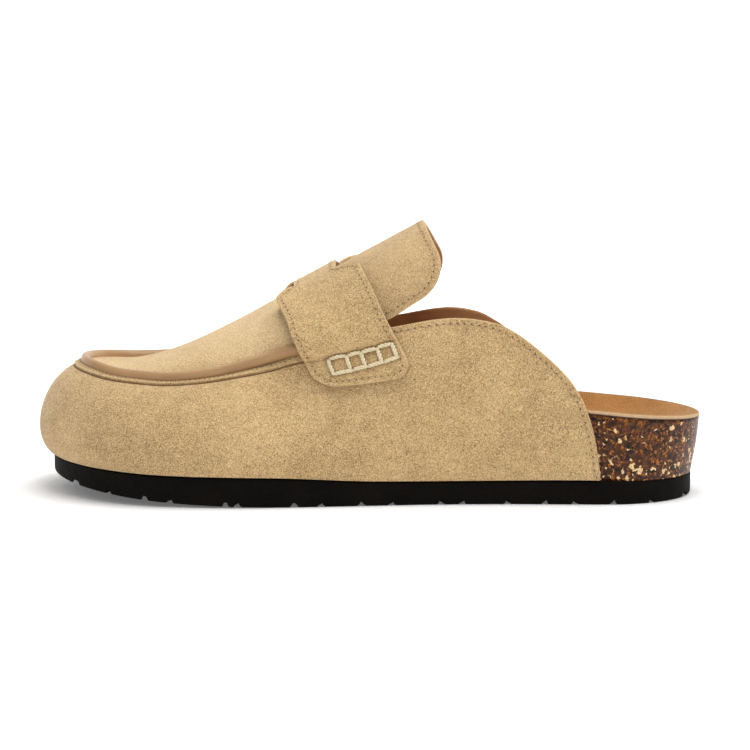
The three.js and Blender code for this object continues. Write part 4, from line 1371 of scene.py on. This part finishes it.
@dataclass
class Upper(Piece):
    """The suede upper: the vamp and quarters up to the seam, and the apron above it."""

    thickness: float = 2.2
    lip_to: float = 5.3
    lip_height: float = 0.8
    inner_setback: float = 7.0
    collar_inset: float = 1.7
    seam_inset: float = 3.5
    rows: int = 320
    near: tuple = (0.0, 0.8, 1.6, 2.1, 2.5, 2.8, 3.1, 3.5, 3.9, 4.2, 4.6, 4.85, 5.05, 5.2, 5.32, 5.44, 5.56, 5.7,
                   5.9, 6.2, 6.7, 7.5)

    def walls(self, row: Array) -> Array:
        """Places t up the wall of each row, at fixed distances from the seam and then evenly to the foot."""
        t = np.linspace(0, 1, 160)
        line = self.last.upper(row[:, None], t[None])
        step = np.linalg.norm(np.diff(line, axis=1), axis=2)
        fall = np.concatenate([np.cumsum(step[:, ::-1], axis=1)[:, ::-1], np.zeros((len(row), 1))], axis=1)
        near = np.array(self.near)
        result = []
        for distances in fall:
            rest = near[-1] + (distances[0] - near[-1]) * np.linspace(0, 1, 46)[1:]
            result.append(np.interp(-np.concatenate([near, rest]), -distances, t))
        return np.array(result)[:, ::-1]

    def quarter(self, side: Side, t: Array, count: int = 90) -> Array:
        """The quarter's grid in side view, from the strap's middle to the back edge."""
        last = self.last
        start = float(last.control(np.array(float(last.split)), 0)[0])
        places = np.arange(len(COLLAR_EDGE))

        def edge(place: Array) -> Array:
            setback = 0.0 if side is Side.OUTER else self.inner_setback * smoothstep(0, CORNER_ROW - 1, place)
            along = lookup(places, COLLAR_EDGE[:, 0], place) + setback / last.sole_length
            low = last.top(along) + last.gap
            return np.stack([last.x(along), low + (last.collar_height - low) * lookup(places, COLLAR_EDGE[:, 1], place)], -1)

        def floor(u: Array) -> Array:
            x = start + (edge(np.array(10.0))[0] - start) * u
            return np.stack([x, last.top(0.5 - x / last.sole_length) + last.gap], -1)

        u = np.linspace(0, 1, count)[:, None]
        left_z = last.upper(float(last.split), t)[:, 2]
        top_left = np.array([start, last.control(np.array(float(last.split)), 3)[2]])
        v = ((left_z - floor(np.array(0.0))[1]) / (top_left[1] - floor(np.array(0.0))[1]))[None, :]
        lead = top_left + (edge(np.array(0.0)) - top_left) * (u / 0.15)
        top = np.where(u <= 0.15, lead, edge(np.maximum(u[:, 0] - 0.15, 0) / 0.85 * CORNER_ROW))[:, None]
        back = edge(10 + (CORNER_ROW - 10) * v[0])[None]
        left = np.stack([np.full_like(left_z, start), left_z], -1)[None]
        u, v = u[..., None], v[..., None]
        corners = (1 - u) * (1 - v) * floor(np.array(0.0)) + u * (1 - v) * edge(np.array(10.0))
        corners = corners + (1 - u) * v * top_left + u * v * edge(np.array(float(CORNER_ROW)))
        flat = (1 - v) * floor(u[:, 0, 0])[:, None] + v * top + (1 - u) * left + u * back - corners
        grid = last.wall_at(flat[..., 0], flat[..., 1], side)
        split = float(last.split if side is Side.OUTER else last.end - last.split)
        grid[0] = last.upper(split, t)
        return grid

    def sheet(self) -> tuple[Skin, Array, Array]:
        """The outer face, with each point's row and place t for those in front of the split."""
        last = self.last
        row = np.linspace(last.split, last.end - last.split, self.rows)
        row[self.rows // 2] = last.toe
        t = self.walls(row)
        wall = last.upper(row[:, None], t)
        over = 1 + np.concatenate([[0, 0.02, 0.045, 0.075], np.linspace(0.11, 1, 34)])
        apron = last.upper(row[:, None], over[None])
        outer, inner = self.quarter(Side.OUTER, t[0]), self.quarter(Side.INNER, t[-1])
        return Skin.join([(wall, False), (apron, False), (outer, True), (inner, False)]), row, t

    def build(self) -> None:
        """Makes the upper as one shell with a lining."""
        last = self.last
        skin, row, t = self.sheet()
        normals = skin.normals()
        wall = last.upper(row[:, None], t)
        fall = np.linalg.norm(wall - wall[:, -1:], axis=2)
        inside = smoothstep(0.2, 1.0, row - last.split) * smoothstep(0.2, 1.0, last.end - last.split - row)
        lift = smoothstep(1.9, 2.5, fall) * (1 - smoothstep(self.lip_to - 0.25, self.lip_to + 0.1, fall))
        dent = np.clip(1 - np.abs(fall - self.lip_to - 0.3) / 0.4, 0, 1)
        stitch = np.clip(1 - np.abs(fall - 3.1) / 0.5, 0, 1)
        height = (self.lip_height * lift - 0.28 * dent - 0.2 * stitch) * inside[:, None]
        on_wall = skin.source < height.size
        place = np.where(on_wall, skin.source, 0)
        raised = np.where(on_wall, height.ravel()[place], 0.0)
        front = on_wall & (np.repeat(inside, wall.shape[1])[place] > 0.5)
        # distance down from the seam; the suede reads it to paint the shadow lines under the piping and below the lip
        seam = np.where(front, fall.ravel()[place], 9.0)
        foot = last.top(last.along(skin.points[:, 0])) + last.gap + 1.2
        above = lambda p: p[:, 2] > last.top(last.along(p[:, 0])) + last.gap + 1.2
        # distance from the collar edge; the suede reads it for worn edges and a painted shade line along the
        # stitching
        distance = skin.from_edge(above)
        self.skin = Skin(skin.points + normals * raised[:, None], skin.quads)
        self.distance, self.seam = distance, seam
        rim = np.where(skin.points[:, 2] > foot, 0.45, 0.0)
        points, quads, tags = self.skin.shell(self.thickness, rim)
        is_apron = self.over(skin)
        face = np.where(tags == 3, 3, np.where(tags == 2, 2, 0))
        face[: len(skin.quads)] = np.where(is_apron, 1, 0)
        distance = np.concatenate([distance, distance, np.zeros(len(points) - 2 * len(distance))])
        seam = np.concatenate([seam, np.full(len(points) - len(seam), 9.0)])
        thing = self.place.mesh(
            "suede_upper", points, quads,
            [self.finishes.suede, self.finishes.apron, self.finishes.dye, self.finishes.lining], face,
            edge=distance, seam=seam)
        hand_over(thing, "upper", "suede")
        self.sew(wall, height, row)

    def sew(self, wall: Array, height: Array, row: Array) -> None:
        """Sews the quarters' edges and the row under the piping.

        Args:
            wall: the grid of the wall in front of the split.
            height: how far each of its points is raised.
            row: the row of the form that each row of the grid is on.
        """
        last = self.last
        points, up, edges = self.skin.contour(self.distance, self.collar_inset)
        shown = (points[:, 0] > last.control(np.array(float(last.split)), 3)[0] - 4)[edges].all(axis=1)
        self.sewing.row("collar_stitches", "suede", (points, up, edges[shown]), 2.7, 1.9, 0.62, 0.5)
        inside = (row > last.split + 0.7) & (row < last.end - last.split - 0.7)
        normal = grid_normals(wall)
        column = wall.shape[1] - 1 - self.near.index(self.seam_inset)
        path = (wall + normal * height[..., None])[inside, column]
        pairs = np.stack([np.arange(len(path) - 1), np.arange(1, len(path))], axis=1)
        self.sewing.row("seam_stitches", "suede", (path, normal[inside, column], pairs), 1.9, 1.35, 0.5, 0.42)

    def over(self, skin: Skin) -> Array:
        """Which quads lie on the apron."""
        last = self.last
        row = np.linspace(last.split, last.end - last.split, 400)
        seam = last.upper(row, 1.0)
        middle = skin.points[skin.quads].mean(axis=1)
        order = np.argsort(middle[:, 0])
        result = np.zeros(len(middle), bool)
        low, high = seam[:200], seam[200:]
        out = np.interp(middle[:, 0], low[::-1, 0], low[::-1, 1])
        into = np.interp(middle[:, 0], high[:, 0], high[:, 1])
        result[order] = ((middle[:, 1] > out) & (middle[:, 1] < into) & (middle[:, 0] < low[0, 0]))[order]
        return result & (middle[:, 2] > last.toe_height * 0.8)


@dataclass
class Piping(Piece):
    """The round leather bead in the seam between the apron and the vamp."""

    width: float = 4.8
    height: float = 3.0
    rows: int = 560

    def build(self) -> None:
        """Sweeps the bead's section along the seam."""
        last = self.last
        row = np.linspace(last.split + 0.6, last.end - last.split - 0.6, self.rows)
        seam = last.upper(row, 1.0)
        wall, apron = last.upper(row, 0.945) - seam, last.upper(row, 1.1) - seam
        across = unit(unit(apron) - unit(wall))
        normal = unit(np.cross(across, last.upper(row + 0.02, 1.0) - last.upper(row - 0.02, 1.0)))
        feet = []
        for way in (wall, apron):
            reach = np.minimum(self.width / 2, np.linalg.norm(way, axis=1) * 0.8)
            feet.append(seam + unit(way) * reach[:, None] + normal * 0.2)
        middle, half = (feet[0] + feet[1]) / 2, (feet[1] - feet[0]) / 2
        rings = [
            middle - half * math.cos(a) * 1.04 + normal * math.sin(a) * self.height for a in np.linspace(-0.5, np.pi + 0.5, 26)
        ]
        rings.append(seam - normal * 0.4)
        grid = np.stack(rings + [rings[0]], axis=1)
        skin = Skin.join([(grid, True)])
        thing = self.place.mesh("leather_piping", skin.points, skin.quads, [self.finishes.piping])
        hand_over(thing, "piping", "piping")


@dataclass
class Tongue(Piece):
    """The tongue that stands up behind the strap."""

    edge: float = 0.06
    corner: float = 15.0
    thickness: float = 2.6

    def build(self) -> None:
        """Makes the tongue as a shell with a rolled edge."""
        last = self.last
        front = last.split_back - last.gap * 1.5
        turn = np.linspace(0, np.pi / 2, 40)
        back = np.concatenate([self.corner * (1 - np.cos(turn)), np.linspace(self.corner, front, 60)[1:]])
        inside = np.maximum(0, 1 - back / self.corner)
        corner = self.corner * (1 - np.sqrt(1 - inside**2)) / (last.tongue_height - last.toe_height)
        low = (self.edge + corner * 1.25)[:, None]
        t = low + np.linspace(0, 1, 46)[None] * (1 - low)
        halves = [last.arch(back[:, None], side, t) for side in (Side.OUTER, Side.INNER)]
        grid = np.concatenate([halves[0], halves[1][:, ::-1][:, 1:]], axis=1)
        skin = Skin.join([(grid, False)])
        self.skin = skin
        self.distance = skin.from_edge(lambda p: (last.instep(0.0) - p) @ last.direction < front - 2)
        rim = np.full(len(skin.points), 0.45)
        points, quads, tags = skin.shell(self.thickness, rim)
        count = len(skin.points)
        distance = np.concatenate([self.distance, np.full(count, 8.0), np.zeros(len(points) - 2 * count)])
        thing = self.place.mesh(
            "suede_tongue", points, quads, [self.finishes.tongue, self.finishes.lining], (tags == 3).astype(int),
            edge=distance)
        hand_over(thing, "tongue", "tongue")
        self.sewing.row("tongue_stitches", "tongue", skin.contour(self.distance, 2.0), 2.5, 1.75, 0.58, 0.46)


@dataclass
class Strap(Piece):
    """The band across the instep, waisted at the ridge, with a sewn-down tab on each side."""

    waist: float = 19.5
    thickness: float = 2.3
    drop: float = 16.2
    slant: float = 4.3
    corner: float = 7.0
    seam: float = 5.6
    wing_lift: tuple = (2.6, 1.2, 3.8, 3.0)
    puff: float = 3.9
    rungs: tuple = (0.235, 0.435, 0.595, 0.775, 0.945)
    ladder_top: float = 6.6
    ladder_drop: float = 5.8

    def base(self, stop: Array, way: Array, side: Side) -> Array:
        """Points under the strap.

        Args:
            stop: 0 at the front edge to 1 at the rear.
            way: 0 at the tab's end, 1 at the arch's foot, 2 on the ridge.
            side: which half.

        Returns:
            One point for each place.
        """
        last = self.last
        notch = (last.strap_width - self.waist) / 2
        t = np.clip(way - 1, 0, 1)
        waist = smoothstep(0.6, 0.74, t)
        start, stop_at = last.run - notch * 0.77 * waist, last.strap_setback + notch * 1.23 * waist
        arch = last.arch(start + (stop_at - start) * stop, side, t)
        foot = last.arch(last.run + (last.strap_setback - last.run) * stop, side, 0.0)
        tab = foot - last.arch_up * (self.reach(stop) * np.clip(1 - way, 0, 1))[..., None]
        return np.where((way < 1)[..., None], last.wall_at(tab[..., 0], tab[..., 2], side), arch)

    def reach(self, stop: Array) -> Array:
        """How far the tab goes down from the arch's foot, with its round corners."""
        inside = np.maximum(0, 1 - np.minimum(stop, 1 - stop) * self.last.strap_width / self.corner)
        return self.drop + self.slant * stop - self.corner * (1 - np.sqrt(1 - inside**2))

    def height(self, stop: Array, way: Array, inner: Array) -> Array:
        """How far the strap stands off the upper: puffed out over the piping, and lifted at its shoulders.

        Args:
            stop: the place of each point between the front and rear edges.
            way: the place of each point up its half.
            inner: True on the inner half.

        Returns:
            One height for each point.
        """
        from_edge = np.minimum(stop, 1 - stop) * self.last.strap_width
        up = np.where(way < 1, (way - 1) * self.reach(stop), (way - 1) * 38)
        rise = np.sin(np.pi / 2 * np.clip((up + self.seam) / (self.seam + 1), 0, 1)) ** 0.75
        puff = (self.puff - 1.7 * smoothstep(0.25, 0.6, stop)) * rise * (1 - smoothstep(1.0, 17.0, up))
        wing = smoothstep(1.0, 1.35, way) * (1 - smoothstep(1.66, 1.78, way))
        wing = wing * np.clip(1 - from_edge / 12, 0, 1) ** 1.5
        valley = np.exp(-(((up + self.seam) / 0.7) ** 2)) * np.clip(from_edge / 1.5, 0, 1)
        front = 1 - smoothstep(0.35, 0.65, stop)
        outer_front, outer_rear, inner_front, inner_rear = self.wing_lift
        lift = np.where(
            inner, inner_front * front + inner_rear * (1 - front), outer_front * front + outer_rear * (1 - front))
        return self.last.gap + puff + lift * wing - 0.5 * valley

    def build(self) -> None:
        """Makes the strap as a shell."""
        turn = (1 - np.cos(np.linspace(0, np.pi / 2, 16))) * self.corner / self.last.strap_width
        stop = np.concatenate([turn, np.linspace(turn[-1], 1 - turn[-1], 50)[1:-1], 1 - turn[::-1]])
        way = np.concatenate([np.linspace(0, 1, 50)[:-1], 1 + np.linspace(0, 1, 100)])
        s, w = np.meshgrid(stop, way, indexing="ij")
        halves = [self.base(s, w, side) for side in (Side.OUTER, Side.INNER)]
        flat = np.concatenate([halves[0], halves[1][:, ::-1][:, 1:]], axis=1)
        w = np.concatenate([w, w[:, ::-1][:, 1:]], axis=1)
        s = np.repeat(stop[:, None], w.shape[1], axis=1)
        normal = -grid_normals(flat)
        for _ in range(60):
            normal[:, 1:-1] = normal[:, 1:-1] / 2 + (normal[:, :-2] + normal[:, 2:]) / 4
        normal = normal * np.stack([smoothstep(1.2, 1.6, w), np.ones_like(w), smoothstep(1.0, 1.4, w)], axis=-1)
        normal = unit(normal)
        inner = np.arange(w.shape[1])[None] > len(way) - 1
        self.grid = flat + normal * (self.height(s, w, inner) + self.thickness)[..., None]
        self.grid_up = -grid_normals(self.grid)
        self.stops, self.ways = stop, way
        self.skin = Skin.join([(self.grid[::-1], False)])
        self.distance = self.skin.from_edge(lambda p: p[:, 0] > -1e9)
        away = normal[::-1].reshape(-1, 3)[self.skin.source]
        points, quads, tags = self.skin.shell(self.thickness, np.full(len(away), 0.4), out_of=away)
        count = len(self.skin.points)
        distance = np.concatenate([self.distance, np.full(count, 8.0), np.zeros(len(points) - 2 * count)])
        lines = [self.ladder(side) for side in (Side.OUTER, Side.INNER)]
        # dent: painted shade on the strap's suede round the ladder's threads, fading within about 2 mm of them
        away = np.linalg.norm(points[:, None] - np.concatenate([line[0] for line in lines])[None], axis=2).min(axis=1)
        # the backing's dark brown, on the back and the back half of the rim, paints the shade under the strap over a
        # real lining
        thing = self.place.mesh(
            "suede_strap", points, quads, [self.finishes.strap, self.finishes.under],
            (tags >= 2).astype(int), edge=distance, dent=np.exp(-((away / 1.15) ** 2)))
        hand_over(thing, "strap", "strap")
        self.sewing.row("strap_stitches", "strap", self.skin.contour(self.distance, 1.7), 2.5, 1.75, 0.6, 0.48)
        for name, line in zip(("outer_ladder", "inner_ladder"), lines):
            self.sewing.thread(name, "strap", line, 0.84)

    def ladder(self, side: Side) -> tuple[Array, Array, Array]:
        """The path of the ladder of thick thread on a tab: two rows joined by five rungs.

        Args:
            side: which tab.

        Returns:
            The path's points, the way up at each, and the pairs of points that follow each other.
        """
        chance = np.random.default_rng(5)
        runs = []
        for a, b in zip(self.rungs, self.rungs[1:]):
            for down in (self.ladder_top, self.ladder_top + self.ladder_drop):
                low, high = chance.normal(0, 0.12, 2)
                runs.append(((a + 0.004, down + low), (b - 0.004, down + high)))
        for a in self.rungs:
            lean = chance.normal(-0.014, 0.012)
            runs.append(((a, self.ladder_top - 0.2), (a + lean, self.ladder_top + self.ladder_drop + 0.2)))
        points, ups, edges = [], [], []
        for start, stop in runs:
            for share in np.linspace(0, 1, 13):
                place, up = self.spot(*(np.array(start) * (1 - share) + np.array(stop) * share), side)
                if share:
                    edges.append((len(points) - 1, len(points)))
                points.append(place + up * (1.45 * math.sin(math.pi * share) ** 0.5 - 0.6))
                ups.append(up)
        return np.array(points), np.array(ups), np.array(edges)

    def spot(self, stop: float, down: float, side: Side) -> tuple[Array, Array]:
        """A point of a tab's face and its normal.

        Args:
            stop: 0 at the front edge to 1 at the rear.
            down: the distance down from the arch's foot.
            side: which tab.

        Returns:
            The point and the way out of the face there.
        """
        way = 1 - down / float(self.reach(np.array(stop)))
        i = float(np.interp(stop, self.stops, np.arange(len(self.stops))))
        j = float(np.interp(way, self.ways, np.arange(len(self.ways))))
        if side is Side.INNER:
            j = self.grid.shape[1] - 1 - j
        a, b = int(i), int(j)
        u, v = i - a, j - b

        def read(grid: Array) -> Array:
            low = grid[a, b] * (1 - v) + grid[a, b + 1] * v
            high = grid[a + 1, b] * (1 - v) + grid[a + 1, b + 1] * v
            return low * (1 - u) + high * u

        return read(self.grid), unit(read(self.grid_up))


class Studio:
    """The camera at the photograph's angle, the floor and the lights."""

    def __init__(self, finishes: Finishes) -> None:
        self.finishes = finishes

    def camera(self) -> None:
        """Sets the camera: nearly side on, a little above the shoe."""
        data = bpy.data.cameras.new("camera")
        data.lens, data.sensor_width, data.clip_end = 88.9, 36.0, 20.0
        camera = bpy.data.objects.new("camera", data)
        bpy.context.scene.collection.objects.link(camera)
        turn, tilt, distance = math.radians(2.8), math.radians(6.02), 0.747
        camera.location = (0.0038 + math.sin(turn) * distance, -math.cos(turn) * distance, 0.125)
        look = Vector((-math.sin(turn) * math.cos(tilt), math.cos(turn) * math.cos(tilt), -math.sin(tilt)))
        camera.rotation_euler = look.to_track_quat("-Z", "Y").to_euler()
        bpy.context.scene.camera = camera

    def floor(self) -> None:
        """Makes the plain pale floor, which turns up into a backdrop."""
        turn = np.linspace(0, np.pi / 2, 24)
        profile = [(-3.0, 0.0)] + [(1.2 + 1.2 * math.sin(a), 1.2 * (1 - math.cos(a))) for a in turn] + [(2.4, 4.0)]
        points = np.array([[(x, y, z) for y, z in profile] for x in (-4.0, 4.0)]).reshape(-1, 3)
        data = bpy.data.meshes.new("backdrop")
        data.from_pydata(points.tolist(), [], grid_quads(2, len(profile), True).tolist())
        data.materials.append(self.finishes.paper)
        data.polygons.foreach_set("use_smooth", np.ones(len(data.polygons), bool))
        thing = bpy.data.objects.new("backdrop", data)
        bpy.context.scene.collection.objects.link(thing)

    def light(self, name: str, place: tuple, aim: tuple, size: tuple, watts: float, tint: tuple = (1, 1, 1)) -> None:
        """Adds one soft box.

        Args:
            name: the light's name.
            place: where it hangs, in metres.
            aim: the point it faces.
            size: its width and height.
            watts: its power.
            tint: its colour.
        """
        data = bpy.data.lights.new(name, "AREA")
        data.shape, data.size, data.size_y, data.energy, data.color = "RECTANGLE", *size, watts, tint
        lamp = bpy.data.objects.new(name, data)
        lamp.location = place
        lamp.rotation_euler = (Vector(aim) - Vector(place)).to_track_quat("-Z", "Y").to_euler()
        bpy.context.scene.collection.objects.link(lamp)

    def build(self) -> None:
        """Sets the whole studio."""
        scene = bpy.context.scene
        scene.view_settings.view_transform = "Standard"
        world = bpy.data.worlds.new("studio")
        world.use_nodes = True
        world.node_tree.nodes["Background"].inputs["Color"].default_value = (1.0, 1.0, 1.0, 1.0)
        world.node_tree.nodes["Background"].inputs["Strength"].default_value = 0.39
        scene.world = world
        self.camera()
        self.floor()
        self.light("top", (0.1, -0.12, 1.05), (0.0, 0.0, 0.0), (0.8, 0.6), 8.6)
        self.light("front", (0.55, -1.15, 0.75), (0.0, 0.0, 0.04), (0.9, 0.7), 0.7)
        self.light("side", (1.1, -0.5, 0.45), (0.05, 0.0, 0.04), (0.5, 0.7), 0.8)


def main() -> None:
    """Builds the whole scene, piece by piece."""
    logging.basicConfig(level=logging.INFO, format="%(name)s: %(message)s")
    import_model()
    last = Last()
    place = Place.on_frame(last)
    finishes = Finishes()
    sewing = Sewing(place, finishes)
    for kind in (Outsole, Footbed, Upper, Piping, Tongue, Strap):
        piece = kind(last, place, finishes, sewing)
        piece.build()
        LOG.info("%s is done", kind.__name__.lower())
    Studio(finishes).build()


if __name__ == "__main__":
    main()
